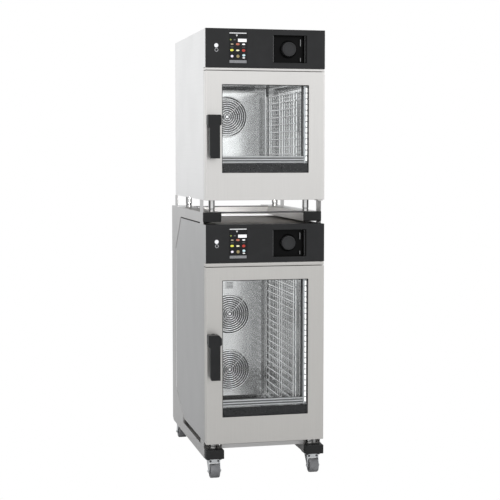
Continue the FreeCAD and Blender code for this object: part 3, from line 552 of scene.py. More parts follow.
def make_back(oven, sheet):
    """The rear sheet with pressed louvres and screws round its edge."""
    name = f"{oven}_back_panel"
    low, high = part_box(name)
    bm = bmesh.new()
    block(bm, low, high, radius=0.0005)
    pitch, half = 0.022, 0.045
    for column in (-0.13, 0.0, 0.13):
        for row in range(6):
            z = high.z - 0.1 - row * pitch
            root = high.y - 0.0005
            prism(bm, [(root, z - 0.008), (root + 0.0055, z - 0.006), (root, z + 0.006)],
                  0, column - half, column + half, radius=0.0008)
    rows = 4 if oven == "upper" else 6
    for step in range(rows):
        z = low.z + 0.03 + step * (high.z - low.z - 0.06) / (rows - 1)
        for x in (low.x + 0.012, high.x - 0.012):
            screw_head(bm, (x, high.y, z), "y", out=1)
    finish_piece(bm, f"{oven}_back_sheet", "stack", sheet, hides=name)


def make_rail(oven, sheet):
    """The strip between door and control panel, with its hinge pin."""
    name = f"{oven}_head_rail"
    low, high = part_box(name)
    door_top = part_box(f"{oven}_door_frame")[1].z
    hinge = door_hinge(oven)
    bm = bmesh.new()
    block(bm, (low.x, low.y, door_top + 0.0024), (high.x, high.y, high.z - 0.001), 0.0015)
    block(bm, (low.x + 0.002, low.y + 0.004, high.z - 0.0015), (high.x - 0.002, high.y, high.z), 0.0004)
    rod(bm, (hinge.x, hinge.y, low.z), (hinge.x, hinge.y, door_top + 0.005), 0.004, sides=24)
    finish_piece(bm, f"{oven}_rail_strip", "stack", sheet, hides=name)


def door_hinge(oven):
    joint = next(j for j in frame["joints"] if j["name"] == f"{oven}_door_hinge")
    return Vector(joint["pos_m"])


# ---------------------------------------------------------------- cavity

def cavity_room(oven):
    """The cavity's inner corners, from its gasket and its heater side wall."""
    seal_low, seal_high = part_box(f"{oven}_gasket")
    edge = 0.016
    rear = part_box(f"{oven}_cavity")[1].y - SHEET
    return (Vector((seal_low.x + edge, CASING_FRONT, seal_low.z + edge)),
            Vector((seal_high.x - edge, rear, seal_high.z - edge)))


def make_cavity(oven):
    """The coved liner, painted darker behind the fan cover as painted shade, and the flange round its mouth.
    """
    low, high = cavity_room(oven)
    room = cube(low, high)
    front = face_near(room, (0, low.y, (low.z + high.z) / 2), (0, -1, 0))
    ops.delete(room, geom=[front], context="FACES_ONLY")
    round_edges(room, [e for e in room.edges if len(e.link_faces) == 2], 0.012, 4)
    ops.recalc_face_normals(room, faces=room.faces)
    ops.solidify(room, geom=list(room.faces), thickness=-0.0012)
    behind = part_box(f"{oven}_baffle")[1].y
    slice_at(room, 1, [behind])
    # Faces behind the fan cover take the dark steel: painted shade.
    for face in room.faces:
        face.material_index = 1 if face.calc_center_median().y > behind else 0
    box_low, box_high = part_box(f"{oven}_cavity")
    flange = slab_with_window((box_low.x, CASING_FRONT, box_low.z),
                              (box_high.x, CASING_FRONT + SHEET, box_high.z),
                              (low.x, high.x, low.z, high.z))
    merge_part(room, flange)
    mesh = bpy.data.meshes.new(f"{oven}_cavity_liner")
    room.to_mesh(mesh)
    room.free()
    for material in (cavity_sheet, plenum_sheet_painted_shade):
        mesh.materials.append(material)
    mesh.shade_smooth()
    mesh.set_sharp_from_angle(angle=math.radians(40))
    place_piece(f"{oven}_cavity_liner", mesh, "stack", f"{oven}_cavity")


def make_guard(oven, fans):
    """The wire guards in front of the fans."""
    bm = bmesh.new()
    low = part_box(f"{oven}_fan_guard")[0]
    wire = 0.0022
    outer, pitch = 0.094, 0.01
    front = low.y + wire
    for fan in fans:
        fan_low, fan_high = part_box(fan)
        x = (fan_low.x + fan_high.x) / 2
        z = (fan_low.z + fan_high.z) / 2
        for step in range(9):
            loop_wire(bm, (x, front, z), outer - pitch * step, wire)
        boss = [(0.0, -0.001), (0.006, -0.0006), (0.0065, 0.001), (0.0, 0.0015)]
        lathe(bm, boss, (x, front, z), "y", steps=24)
        for turn in range(4):
            angle = math.radians(45 + 90 * turn)
            reach = Vector((math.cos(angle), 0, math.sin(angle)))
            middle = Vector((x, front + 0.0028, z))
            rod(bm, middle, middle + reach * 0.101, 0.0018)
            rod(bm, middle + reach * 0.099, middle + reach * 0.099 + Vector((0, 0.0052, 0)), 0.0018)
    finish_piece(bm, f"{oven}_guard_wires", "stack", chrome_wire, smooth=60,
                 hides=f"{oven}_fan_guard")


def make_racks(oven):
    """Welded wire racks: ladder posts, a shelf wire at each step and a fine mesh behind."""
    low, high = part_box(f"{oven}_racks")
    bm = bmesh.new()
    front, rear = low.y + 0.014, high.y - 0.014
    posts = [front, (front + rear) / 2, rear]
    pitch = 0.033
    fine_wires = 12
    count = int((high.z - low.z) / pitch)
    for wall, inward in ((low.x + 0.004, 1), (high.x - 0.004, -1)):
        inner = wall + inward * 0.012
        for y in posts:
            rod(bm, (wall, y, low.z), (wall, y, high.z - 0.002), 0.004, sides=12)
            rod(bm, (inner, y, low.z + 0.01), (inner, y, high.z - 0.006), 0.003, sides=10)
        for step in range(1, fine_wires):
            y = front + step * (rear - front) / fine_wires
            rod(bm, (wall, y, low.z + 0.012), (wall, y, high.z - 0.008), 0.0013, sides=6)
        for step in range(count):
            z = low.z + (step + 0.7) * pitch
            rod(bm, (inner, low.y, z), (inner, high.y, z), 0.0027, sides=8)
            half_way = z + pitch / 2
            rod(bm, (wall, low.y + 0.004, half_way), (wall, high.y - 0.004, half_way), 0.0016, sides=6)
            for y in (low.y + 0.003, *posts, high.y - 0.003):
                rod(bm, (wall, y, z), (inner, y, z), 0.0026, sides=8)
    finish_piece(bm, f"{oven}_rack_wires", "stack", chrome_wire, smooth=60,
                 hides=f"{oven}_racks")


def make_sill(oven):
    """The drip channel along the front of the cavity floor."""
    low, high = cavity_room(oven)
    bm = bmesh.new()
    for step in range(2):
        y = low.y + 0.012 + step * 0.03
        rod(bm, (low.x + 0.012, y, low.z + 0.004), (high.x - 0.012, y, low.z + 0.004), 0.004, sides=12)
    finish_piece(bm, f"{oven}_drip_channel", "stack", cavity_sheet)


def make_lamp():
    """The slatted grille on the square cover of the lower cavity's lamp."""
    low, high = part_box("lower_baffle")
    x, z = (low.x + high.x) / 2, high.z - 0.092
    half, slat = 0.0175, 0.015
    bm = bmesh.new()
    block(bm, (x - half, low.y - 0.0006, z - half), (x + half, low.y + 0.001, z + half), 0.0005)
    pitch = 0.0062
    for step in range(5):
        level = z + (step - 2) * pitch
        block(bm, (x - slat, low.y - 0.0014, level - 0.0012), (x + slat, low.y - 0.0004, level + 0.0012),
              0.0003, material=1)
    finish_piece(bm, "lower_lamp_grille", "stack", [cavity_sheet, dark_metal])


# ---------------------------------------------------------------- control panel

def front_faces(bm, left, right, base, top):
    """The front faces whose middles lie within a rectangle."""
    return [f for f in bm.faces if f.normal.y < -0.9 and left < f.calc_center_median().x < right
            and base < f.calc_center_median().z < top]


def make_panel(oven):
    """The moulded panel: flat front, knob pocket with a scooped right side, button hole."""
    name = f"{oven}_control_panel"
    low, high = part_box(name)
    screen_low, screen_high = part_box(f"{oven}_display")
    button_low, button_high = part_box(f"{oven}_power_button")
    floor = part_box(f"{oven}_knob")[0].y + 0.024
    pocket = (0.032, 0.1795, low.z + 0.023, low.z + 0.138)
    hole = ((button_low.x + button_high.x) / 2, (button_low.z + button_high.z) / 2)
    reach = 0.014
    step = 0.007
    bm = cube(low, high)
    slice_at(bm, 0, (hole[0] - reach, hole[0] + reach, screen_low.x, screen_high.x, pocket[0], pocket[1]))
    slice_at(bm, 2, (pocket[2], pocket[3], screen_low.z, screen_high.z, hole[1] - reach, hole[1] + reach))
    bm.normal_update()
    in_pocket = front_faces(bm, *pocket)
    in_screen = front_faces(bm, screen_low.x, screen_high.x, screen_low.z, screen_high.z)
    in_hole = front_faces(bm, hole[0] - reach, hole[0] + reach, hole[1] - reach, hole[1] + reach)
    sink(bm, in_screen, 0.0035, 0.0)
    # The pocket's faces take the darker black: painted shade in the recess.
    sink(bm, in_pocket, step, 0.0095, material=1)
    deeper = [f for f in bm.faces if f.normal.y < -0.9
              and abs(f.calc_center_median().y - low.y - step) < 1e-5]
    sink(bm, deeper, floor - low.y - step, 0.0, material=1)
    drill(bm, in_hole, hole, low.y, 0.0098, 0.013)
    ops.recalc_face_normals(bm, faces=bm.faces)
    rims = [e for e in sharp_edges(bm, 0.5)
            if min(v.co.y for v in e.verts) < low.y + 0.001 and not near_hole(e, hole, reach)]
    round_edges(bm, rims, 0.0009, 2)
    finish_piece(bm, f"{oven}_panel_front", "stack", [panel_black, pocket_black_painted_shade], hides=name)


def make_pocket_highlight_strips(oven):
    """Bright metal in the knob's pocket as painted highlights: thin upright strips for the highlight lines
    along the pocket's edges, and two clips beside the knob placed to give the glints on its right wall.
    """
    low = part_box(f"{oven}_control_panel")[0]
    bm = bmesh.new()
    base, top = low.z + 0.0235, low.z + 0.1375
    block(bm, (0.0322, FACE + 0.001, base + 0.002), (0.0331, FACE + 0.0026, top - 0.002), 0.0002)
    block(bm, (0.1712, FACE + 0.0056, base + 0.002), (0.1719, FACE + 0.0068, top - 0.002), 0.0002)
    for start, stop in ((base + 0.007, base + 0.022), (top - 0.043, top - 0.014)):
        block(bm, (0.1535, FACE + 0.016, start), (0.1565, FACE + 0.0255, stop), 0.0006)
    finish_piece(bm, f"{oven}_pocket_highlight_strips", "stack", highlight_grey)


def make_cheeks(oven, sheet):
    """Thin steel cheeks over the sides of the control panel."""
    low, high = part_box(f"{oven}_control_panel")
    edge = max(abs(low.x), abs(high.x))
    bm = bmesh.new()
    for side in (-1, 1):
        across = sorted((side * (edge - 0.0001), side * min(edge + 0.0008, cad_high[0] - 0.0001)))
        block(bm, (across[0], FACE + 0.0016, low.z + 0.0006),
              (across[1], CASING_FRONT - 0.0004, high.z - 0.0006),
              0.0002)
    finish_piece(bm, f"{oven}_panel_cheeks", "stack", sheet)


def near_hole(edge, hole, reach):
    near = reach * 0.9
    return all(abs(v.co.x - hole[0]) < near and abs(v.co.z - hole[1]) < near for v in edge.verts)


def sink(bm, faces, depth, scoop, material=0):
    """Push a group of front faces back; scoop draws in their right edge."""
    made = ops.extrude_face_region(bm, geom=faces)
    ops.delete(bm, geom=[f for f in faces if f.is_valid], context="FACES_ONLY")
    verts = fresh_verts(made)
    right = max(v.co.x for v in verts)
    ops.translate(bm, vec=(0, depth, 0), verts=verts)
    ops.translate(bm, vec=(-scoop, 0, 0), verts=[v for v in verts if v.co.x > right - 1e-6])
    for vert in verts:
        for face in vert.link_faces:
            face.material_index = material
    bm.normal_update()


def drill(bm, faces, centre, front, radius, depth):
    """Replace a square patch of the front by one with a round blind hole."""
    patch = {e for f in faces for e in f.edges}
    rim = [e for e in patch if sum(f in faces for f in e.link_faces) == 1]
    ops.delete(bm, geom=faces, context="FACES_ONLY")
    turn = Matrix.Translation((centre[0], front, centre[1])) @ AXIS_TURN["y"]
    ring = ops.create_circle(bm, cap_ends=False, segments=32, radius=radius, matrix=turn)
    loop = {e for v in ring["verts"] for e in v.link_edges}
    ops.bridge_loops(bm, edges=rim + list(loop))
    made = ops.extrude_edge_only(bm, edges=list(loop))
    verts = fresh_verts(made)
    ops.translate(bm, vec=(0, depth, 0), verts=verts)
    ops.contextual_create(bm, geom=[e for e in made["geom"] if isinstance(e, bmesh.types.BMEdge)])


ICON_THICK = 0.0002
# Icons on the screen: (across, down, half width, half height, shape, colour). Shares of the screen.
ICONS = [
    (0.495, 0.035, 0.465, 0.016, "bar", "pale"), (0.43, 0.105, 0.06, 0.035, "drop", "pale"),
    (0.10, 0.245, 0.055, 0.03, "disc", "leaf"), (0.31, 0.245, 0.05, 0.018, "bar", "dim"),
    (0.73, 0.262, 0.235, 0.05, "bar", "white"),
    (0.17, 0.385, 0.09, 0.022, "disc", "sand"), (0.48, 0.385, 0.12, 0.04, "disc", "meat"),
    (0.80, 0.385, 0.10, 0.027, "disc", "white"),
    (0.17, 0.475, 0.08, 0.008, "bar", "dim"), (0.80, 0.475, 0.08, 0.008, "bar", "dim"),
    (0.16, 0.575, 0.11, 0.04, "disc", "yellow"), (0.48, 0.58, 0.11, 0.03, "disc", "cream"),
    (0.80, 0.58, 0.105, 0.052, "disc", "red"),
    (0.17, 0.765, 0.085, 0.045, "disc", "lilac"), (0.49, 0.765, 0.10, 0.06, "disc", "olive"),
    (0.81, 0.735, 0.095, 0.045, "disc", "ice"), (0.81, 0.815, 0.085, 0.02, "disc", "white"),
    (0.495, 0.935, 0.465, 0.045, "bar", "grey"), (0.33, 0.935, 0.06, 0.03, "disc", "pale"),
]
ICON_COLOURS = {
    "pale": (0.62, 0.62, 0.62), "white": (0.92, 0.92, 0.92), "dim": (0.10, 0.10, 0.10),
    "leaf": (0.22, 0.27, 0.05), "sand": (0.42, 0.36, 0.25), "meat": (0.42, 0.13, 0.08),
    "yellow": (0.75, 0.72, 0.08), "cream": (0.85, 0.8, 0.55), "red": (0.42, 0.035, 0.02),
    "lilac": (0.8, 0.74, 0.85), "olive": (0.28, 0.22, 0.1), "ice": (0.55, 0.72, 0.76),
    "grey": (0.2, 0.2, 0.21),
}
icon_lights = {word: glow(f"icon_{word}", colour, 0.38, speckle=0.25)
               for word, colour in ICON_COLOURS.items()}


def make_display(oven):
    """The dark glass of the screen, and the lit icons just under its face."""
    name = f"{oven}_display"
    low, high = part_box(name)
    bm = bmesh.new()
    block(bm, low, high, radius=0.0004)
    finish_piece(bm, f"{oven}_screen", "stack", black_print, hides=name)
    words = sorted(ICON_COLOURS)
    icons = bmesh.new()
    width, height = high.x - low.x, high.z - low.z
    for across, down, wide, tall, shape, colour in ICONS:
        part = bmesh.new()
        if shape == "bar":
            ops.create_grid(part, x_segments=1, y_segments=1, size=1.0)
        elif shape == "drop":
            ops.create_circle(part, cap_ends=True, segments=3, radius=1.15)
        else:
            ops.create_circle(part, cap_ends=True, segments=20, radius=1.0)
        if shape == "drop":
            ops.rotate(part, cent=(0, 0, 0), matrix=Matrix.Rotation(math.pi, 3, "Z"), verts=part.verts)
        shrink = 0.86 if shape == "disc" else 1.0
        ops.scale(part, vec=(shrink * wide * width, shrink * tall * height, 1.0), verts=part.verts)
        made = ops.extrude_face_region(part, geom=list(part.faces))
        ops.translate(part, vec=(0, 0, ICON_THICK), verts=fresh_verts(made))
        centre = (low.x + across * width, low.y - 0.00005, high.z - down * height)
        ops.transform(part, matrix=Matrix.Translation(centre) @ Matrix.Rotation(math.pi / 2, 4, "X"),
                            verts=part.verts)
        merge_part(icons, part, words.index(colour))
    finish_piece(icons, f"{oven}_screen_icons", "stack",
                 [icon_lights[word] for word in words])


def make_knob(oven):
    """The knob: a shallow cap with a soft edge, a fine grip band and a seat ring behind it."""
    name = f"{oven}_knob"
    low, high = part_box(name)
    x, _, z = (low + high) / 2
    radius = (high.x - low.x) / 2
    bm = bmesh.new()
    shares = [(0.0, 0.0012), (0.75, 0.0008), (0.83, 0.0), (0.94, 0.0004), (0.985, 0.002), (1.0, 0.0045),
              (1.0, 0.021), (0.95, 0.0222), (0.0, 0.0222)]
    lathe(bm, [(radius * share, depth) for share, depth in shares], (x, low.y, z), "y", steps=72)
    for step in range(60):
        angle = step * math.tau / 60
        spot = Vector((x + math.cos(angle) * (radius - 0.0003), 0, z + math.sin(angle) * (radius - 0.0003)))
        rod(bm, (spot.x, low.y + 0.006, spot.z), (spot.x, low.y + 0.0205, spot.z), 0.0005, sides=6)
    rod(bm, (x, low.y + 0.022, z), (x, high.y, z), 0.003, sides=16)
    lathe(bm, [(0.0225, 0.0006), (0.0232, 0.0), (0.0239, 0.0006), (0.0232, 0.0012), (0.0225, 0.0006)],
          (x, low.y, z), "y", steps=72, material=1)
    finish_piece(bm, f"{oven}_knob_cap", f"{oven}_knob", [knob_black, panel_black], hides=name)
    seat = bmesh.new()
    lathe(seat, [(radius + 0.003, 0.0), (radius + 0.005, -0.0014), (radius + 0.007, 0.0)],
          (x, low.y + 0.0238, z), "y", steps=72)
    finish_piece(seat, f"{oven}_knob_seat", "stack", pocket_black_painted_shade)


def make_button(oven):
    """The white power button, and the small ring printed below it; both glow faintly as painted light."""
    name = f"{oven}_power_button"
    low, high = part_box(name)
    x, _, z = (low + high) / 2
    radius = (high.x - low.x) / 2
    bm = bmesh.new()
    profile = [(0.0, 0.0005), (radius * 0.6, 0.0003), (radius * 0.9, 0.0), (radius, 0.0009),
               (radius, 0.0095), (0.0, 0.0098)]
    lathe(bm, profile, (x, low.y, z), "y", steps=36, material=1)
    for face in bm.faces:
        spot = face.calc_center_median()
        if math.hypot(spot.x - x, spot.z - z) < radius * 0.78:
            face.material_index = 0
    finish_piece(bm, f"{oven}_button_cap", f"{oven}_button", [button_white, port_grey],
                 hides=name)
    mark = bmesh.new()
    lathe(mark, [(0.0058, 0.0), (0.0061, -0.0003), (0.0072, -0.0003), (0.0075, 0.0), (0.0058, 0.0)],
          (x + 0.001, FACE, z - 0.0183), "y", steps=36)
    finish_piece(mark, f"{oven}_button_mark", "stack", ring_grey_painted_glow)


# ---------------------------------------------------------------- door

def make_door(oven, sheet):
    """The door skin: rounded upright edges and a window tunnel."""
    name = f"{oven}_door_frame"
    low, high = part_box(name)
    pane_low, pane_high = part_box(f"{oven}_outer_glass")
    window = (pane_low.x, pane_high.x, pane_low.z, pane_high.z)
    bm = slab_with_window(low, (high.x, high.y - 0.0005, high.z), window, corner=0.003)
    outer = [e for e in bm.edges if runs_along(e, 2) and abs(abs(e.verts[0].co.x) - high.x) < 1e-5]
    round_edges(bm, outer, 0.006, 5)
    bm.normal_update()
    round_edges(bm, sharp_edges(bm, 0.9), 0.0011, 3)
    strip = high.y - 0.0075
    rim = 0.001
    slice_at(bm, 1, [strip])
    bm.normal_update()
    for face in bm.faces:
        spot = face.calc_center_median()
        in_window = (window[0] - rim < spot.x < window[1] + rim
                     and window[2] - rim < spot.z < window[3] + rim)
        # The rear strip of the door's sides takes the dark seal rubber: painted shade for the gap to the
        # casing.
        gap_shade_strip = not in_window and spot.y > strip and abs(face.normal.y) < 0.5
        face.material_index = 1 if gap_shade_strip else 0
    finish_piece(bm, f"{oven}_door_skin", f"{oven}_door", [sheet, seal_rubber_and_gap_shade], hides=name)


def make_edge_seal(oven):
    """The dark seal round the back of the door, which fills the gap to the casing; its black also serves as
    painted shade in that gap.
    """
    low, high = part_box(f"{oven}_door_frame")
    inset, wide = 0.0022, 0.012
    outer = (low.x + inset, high.x - inset, low.z + inset, high.z - inset)
    bm = slab_with_window((outer[0], high.y - 0.002, outer[2]), (outer[1], CASING_FRONT - 0.0008, outer[3]),
                          (outer[0] + wide, outer[1] - wide, outer[2] + wide, outer[3] - wide))
    finish_piece(bm, f"{oven}_edge_seal", f"{oven}_door", seal_rubber_and_gap_shade)


def make_panes(oven):
    """Both panes, the dark band printed inside the outer one, and its thin edge seal."""
    body = f"{oven}_door"
    low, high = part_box(f"{oven}_outer_glass")
    lip, gap = 0.0022, 0.0003
    bm = bmesh.new()
    block(bm, (low.x + lip, low.y, low.z + lip), (high.x - lip, high.y, high.z - lip), 0.0003)
    finish_piece(bm, f"{oven}_outer_pane", body, clear_glass, hides=f"{oven}_outer_glass")
    band = bmesh.new()
    block(band, (low.x + lip + gap, high.y + 0.0001, low.z + lip + gap),
          (high.x - lip - gap, high.y + 0.0006, low.z + BAND_HIGH - 0.0005))
    finish_piece(band, f"{oven}_window_band", body, black_print)
    seal = slab_with_window((low.x + gap, low.y + 0.0004, low.z + gap),
                            (high.x - gap, high.y + 0.002, high.z - gap),
                            (low.x + lip, high.x - lip, low.z + lip, high.z - lip))
    finish_piece(seal, f"{oven}_window_seal", body, seal_rubber_and_gap_shade)
    inner_low, inner_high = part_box(f"{oven}_inner_glass")
    pane_bm = bmesh.new()
    block(pane_bm, (low.x + 0.0005, inner_low.y, low.z + 0.0005),
          (high.x - 0.0005, inner_high.y, high.z - 0.0005),
          0.0003)
    finish_piece(pane_bm, f"{oven}_inner_pane", body, clear_glass, hides=f"{oven}_inner_glass")


def make_light(oven):
    """The upright light bar inside the right edge of the window: a channel and its lamps."""
    low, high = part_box(f"{oven}_outer_glass")
    x = high.x - (0.0062 if oven == "upper" else 0.0078)
    y = FACE + 0.016
    half = 0.0024
    start, stop = low.z + 0.003, high.z - 0.003
    bm = bmesh.new()
    block(bm, (high.x - 0.0175, y, start), (high.x - 0.0025, y + 0.006, stop), 0.0006)
    lit = stop - start - 0.05
    count = int(lit / 0.024)
    step = lit / count
    for index in range(count):
        z = start + 0.045 + (index + 0.5) * step
        block(bm, (x - half, y - 0.0018, z - step * 0.37), (x + half, y + 0.0005, z + step * 0.37),
              0.0005, material=1)
    finish_piece(bm, f"{oven}_light_bar", f"{oven}_door", [zinc, led_white])


def make_pane_rail(oven):
    """The grooved steel rail between the panes, over the printed band."""
    low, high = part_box(f"{oven}_outer_glass")
    base = low.z + BAND_HIGH
    bm = bmesh.new()
    # The rail's body takes the dark steel, so the grooves between the ribs show painted shade.
    block(bm, (low.x + 0.0005, FACE + 0.018, base), (high.x - 0.0005, FACE + 0.03, base + 0.03), 0.0008,
          material=1)
    for start, stop in ((0.001, 0.007), (0.0125, 0.018), (0.0235, 0.029)):
        block(bm, (low.x + 0.0005, FACE + 0.014, base + start), (high.x - 0.018, FACE + 0.0185, base + stop),
              0.0016, segments=3)
    finish_piece(bm, f"{oven}_inner_rail", f"{oven}_door", [rail_steel, rail_groove_shade])


HEAD_HIGH = 0.042           # a lever's head, above its grip


def make_handle(oven, chamfer):
    """The door lever: head and grip in one moulding on a round seat."""
    name = f"{oven}_handle"
    low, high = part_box(name)
    joint = next(j for j in frame["joints"] if j["name"] == f"{oven}_handle_turn")
    pivot = Vector(joint["pos_m"])
    tip = low.z
    top = high.z
    left, right = low.x, high.x
    grip = (left + 0.007, right - 0.0065)
    neck = top - HEAD_HIGH
    bm = bmesh.new()
    shape = [(left, top), (right - chamfer, top), (right, top - chamfer * 1.1), (right, neck),
             (grip[1], neck - 0.003), (grip[1], tip), (grip[0] + 0.005, tip), (grip[0], tip + 0.018),
             (grip[0], neck - 0.013), (left, neck - 0.003)]
    prism(bm, shape, 1, low.y, low.y + 0.024, radius=0.0022, segments=4)
    head = [(left + 0.001, top - 0.001), (right - chamfer, top - 0.001), (right - 0.001, top - chamfer * 1.1),
            (right - 0.001, neck + 0.001), (left + 0.001, neck + 0.001)]
    prism(bm, head, 1, low.y + 0.02, FACE - 0.007, radius=0.002, segments=3)
    lathe(bm, [(0.0, -0.0075), (0.0195, -0.0075), (0.0205, -0.0065), (0.0205, -0.0004), (0.0, -0.0004)],
          (pivot.x, FACE, pivot.z), "y", steps=40)
    rod(bm, (pivot.x, FACE - 0.003, pivot.z), (pivot.x, high.y, pivot.z), 0.0079, sides=28, material=1)
    finish_piece(bm, f"{oven}_lever", f"{oven}_handle", [handle_black, zinc], hides=name)


# ---------------------------------------------------------------- frame and castors

def make_legs(oven, name, radius):
    """Round legs with a screwed foot collar at the bottom."""
    low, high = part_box(name)
    bm = bmesh.new()
    for x in (low.x + radius, high.x - radius):
        for y in (low.y + radius, high.y - radius):
            tall = high.z - low.z
            lathe(bm, [(0.0, 0.0), (radius, 0.0), (radius, tall * 0.16), (radius - 0.0015, tall * 0.19),
                       (radius - 0.0015, tall * 0.24), (radius, tall * 0.27), (radius, tall), (0.0, tall)],
                  (x, y, low.z), "z", steps=36)
    finish_piece(bm, f"{oven}_leg_tubes", "stack", leg_tube, hides=name)


def make_rail_shade_strips():
    """Dark strips on the deck's front tie and rear rail: painted shade under the folded lips of the rails."""
    deck_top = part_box("frame_arms")[1].z
    bm = bmesh.new()
    block(bm, (-0.182, 0.3005, deck_top - 0.0045), (0.182, 0.3025, deck_top + 0.0003), 0.0003)
    block(bm, (-0.182, -0.333, deck_top - 0.0045), (0.182, -0.302, deck_top + 0.0003), 0.0003)
    finish_piece(bm, "deck_rail_shade_strips", "stack", dark_metal)


def make_caps():
    """The plastic plugs on the four front arm ends."""
    low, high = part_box("end_caps")
    base_low = low.z
    deck_front = FACE + DECK_SETBACK
    bm = bmesh.new()
    wide = 0.079
    for x in ((low.x, low.x + wide), (high.x - wide, high.x)):
        block(bm, (x[0], low.y, base_low), (x[1], low.y + 0.04, base_low + 0.039), 0.0025, segments=3)
        block(bm, (x[0], deck_front, high.z - 0.0415), (x[1], deck_front + 0.01, high.z), 0.0025, segments=3)
    finish_piece(bm, "arm_end_plugs", "stack", cap_black, hides="end_caps")


CASTORS = [("front_left", -1), ("front_right", -1), ("rear_left", 1), ("rear_right", 1)]


# Wheel sections, from the bore outwards: (radius, depth in from the side).
TREAD = [(0.0205, 0.0025), (0.0235, 0.0008), (0.0275, 0.001), (0.0293, 0.003), (0.03, 0.0065)]
WHEEL_CORE = [(0.00415, 0.0), (0.0085, 0.0), (0.0098, 0.002), (0.0105, 0.005), (0.019, 0.0055),
              (0.021, 0.002)]


def both_ways(half, section):
    """A wheel's section from one side to the other."""
    left = [(radius, depth - half) for radius, depth in section]
    return left + [(radius, -along) for radius, along in reversed(left)]


def make_castor(name, trail):
    """One castor: pressed fork with an apron, rivets and axle nuts, and the wheel."""
    fork = f"castor_{name}_fork"
    wheel = f"castor_{name}_wheel"
    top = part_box(fork)[1].z
    wheel_low, wheel_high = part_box(wheel)
    x = (wheel_low.x + wheel_high.x) / 2
    hub = Vector((x, (wheel_low.y + wheel_high.y) / 2, (wheel_low.z + wheel_high.z) / 2))
    pin_y = hub.y - trail * CASTOR_TRAIL
    bm = bmesh.new()
    cheek_in, cheek_out = 0.0225, 0.0255
    for side in (-1, 1):
        inner = x + side * cheek_in
        outer = x + side * cheek_out
        eye = [(hub.y + trail * along, hub.z + up)
               for along, up in ((0.012, 0.006), (0.007, -0.009), (-0.007, -0.009), (-0.013, 0.006))]
        cheek = [(pin_y - trail * 0.02, top), (pin_y + trail * 0.024, top), *eye,
                 (pin_y - trail * 0.02, top - 0.0125)]
        prism(bm, cheek, 0, min(inner, outer), max(inner, outer), radius=0.0007, upright=0.0035)
        lathe(bm, [(0.0, 0.0), (0.0056, 0.0), (0.0056, 0.003), (0.0046, 0.0042), (0.0, 0.0042)],
              (x + side * 0.0253, hub.y, hub.z), "x", steps=6, flip=side < 0)
        rivet = Vector((x + side * 0.017, pin_y + trail * 0.024, top - 0.0075))
        lathe(bm, [(0.0, 0.0), (0.0048, 0.0), (0.0048, 0.0012), (0.0034, 0.002), (0.0, 0.002)], rivet, "y",
              steps=16, material=1, flip=trail < 0)
    apron = sorted((pin_y + trail * 0.0215, pin_y + trail * 0.024))
    block(bm, (x - cheek_out, pin_y - 0.022, top - 0.0035), (x + cheek_out, pin_y + 0.022, top), 0.0008)
    block(bm, (x - cheek_out, apron[0], top - 0.017), (x + cheek_out, apron[1], top), 0.0008)
    lathe(bm, [(0.006, 0.0), (0.0165, 0.0), (0.0165, -0.003), (0.0125, -0.0048), (0.006, -0.0048)],
          (x, pin_y, top - 0.0028), "z", steps=36)
    rod(bm, (x - 0.0265, hub.y, hub.z), (x + 0.0265, hub.y, hub.z), 0.0039, sides=20, material=1)
    finish_piece(bm, f"{fork}_pressing", f"{name}_fork", [zinc, dark_metal], hides=fork)
    half = (wheel_high.x - wheel_low.x) / 2
    tyre = bmesh.new()
    tread = both_ways(half, TREAD)
    core = both_ways(half, WHEEL_CORE)
    lathe(tyre, tread, hub, "x", steps=64)
    lathe(tyre, core + core[:1], hub, "x", steps=64, material=1)
    finish_piece(tyre, f"{wheel}_tread", f"{name}_wheel", [wheel_rubber, port_grey],
                 hides=wheel)


def make_castor_bolts():
    """Bolt heads that hold each castor's top plate under its arm."""
    bm = bmesh.new()
    plate_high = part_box("castor_plates")[1]
    for name, trail in CASTORS:
        low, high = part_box(f"castor_{name}_wheel")
        x = (low.x + high.x) / 2
        y = (low.y + high.y) / 2 - trail * CASTOR_TRAIL
        for across in (-0.0255, 0.0255):
            for along in (-0.0265, 0.0265):
                lathe(bm, [(0.0, 0.0), (0.0058, 0.0), (0.0058, -0.0034), (0.005, -0.0042), (0.0, -0.0042)],
                      (x + across, y + along, plate_high.z - 0.003), "z", steps=6)
    finish_piece(bm, "castor_bolt_heads", "stack", dark_metal)


# ---------------------------------------------------------------- assembly

# Painted light and shade: the upper oven takes the lighter copies of the steel and the lower oven the darker
# ones.
OVEN_SHEETS = {"upper": (upper_steel_painted_light, upper_side_steel_painted_light), "lower": (lower_steel_painted_shade, lower_side_steel_painted_shade)}
# The lower top takes the dark copy of the steel as painted shade under the upper oven.
TOP_SHEETS = {"upper": upper_steel_painted_light, "lower": lower_top_steel_painted_shade}
FANS = {"upper": ["upper_fan"], "lower": ["lower_fan_low", "lower_fan_high"]}
CHAMFERS = {"upper": 0.004, "lower": 0.012}

for oven in OVENS:
    front_sheet, side_sheet = OVEN_SHEETS[oven]
    for side in ("left", "right"):
        make_side(oven, side, side_sheet)
    make_top(oven, TOP_SHEETS[oven])
    make_back(oven, side_sheet)
    make_rail(oven, front_sheet)
    make_cavity(oven)
    make_guard(oven, FANS[oven])
    make_racks(oven)
    make_sill(oven)
    make_panel(oven)
    make_pocket_highlight_strips(oven)
    make_cheeks(oven, side_sheet)
    make_display(oven)
    make_knob(oven)
    make_button(oven)
    make_door(oven, front_sheet)
    make_edge_seal(oven)
    make_panes(oven)
    make_light(oven)
    make_pane_rail(oven)
    make_handle(oven, CHAMFERS[oven])
    repaint(f"{oven}_base_pan", front_sheet)
    repaint(f"{oven}_baffle", baffle_sheet)
    repaint(f"{oven}_gasket", mouth_rubber_painted_light)
    for fan in FANS[oven]:
        repaint(fan, fan_sheet_painted_shade)
make_lamp()
make_legs("upper", "upper_legs", 0.014)
make_legs("lower", "lower_feet", 0.018)
make_rail_shade_strips()
make_caps()
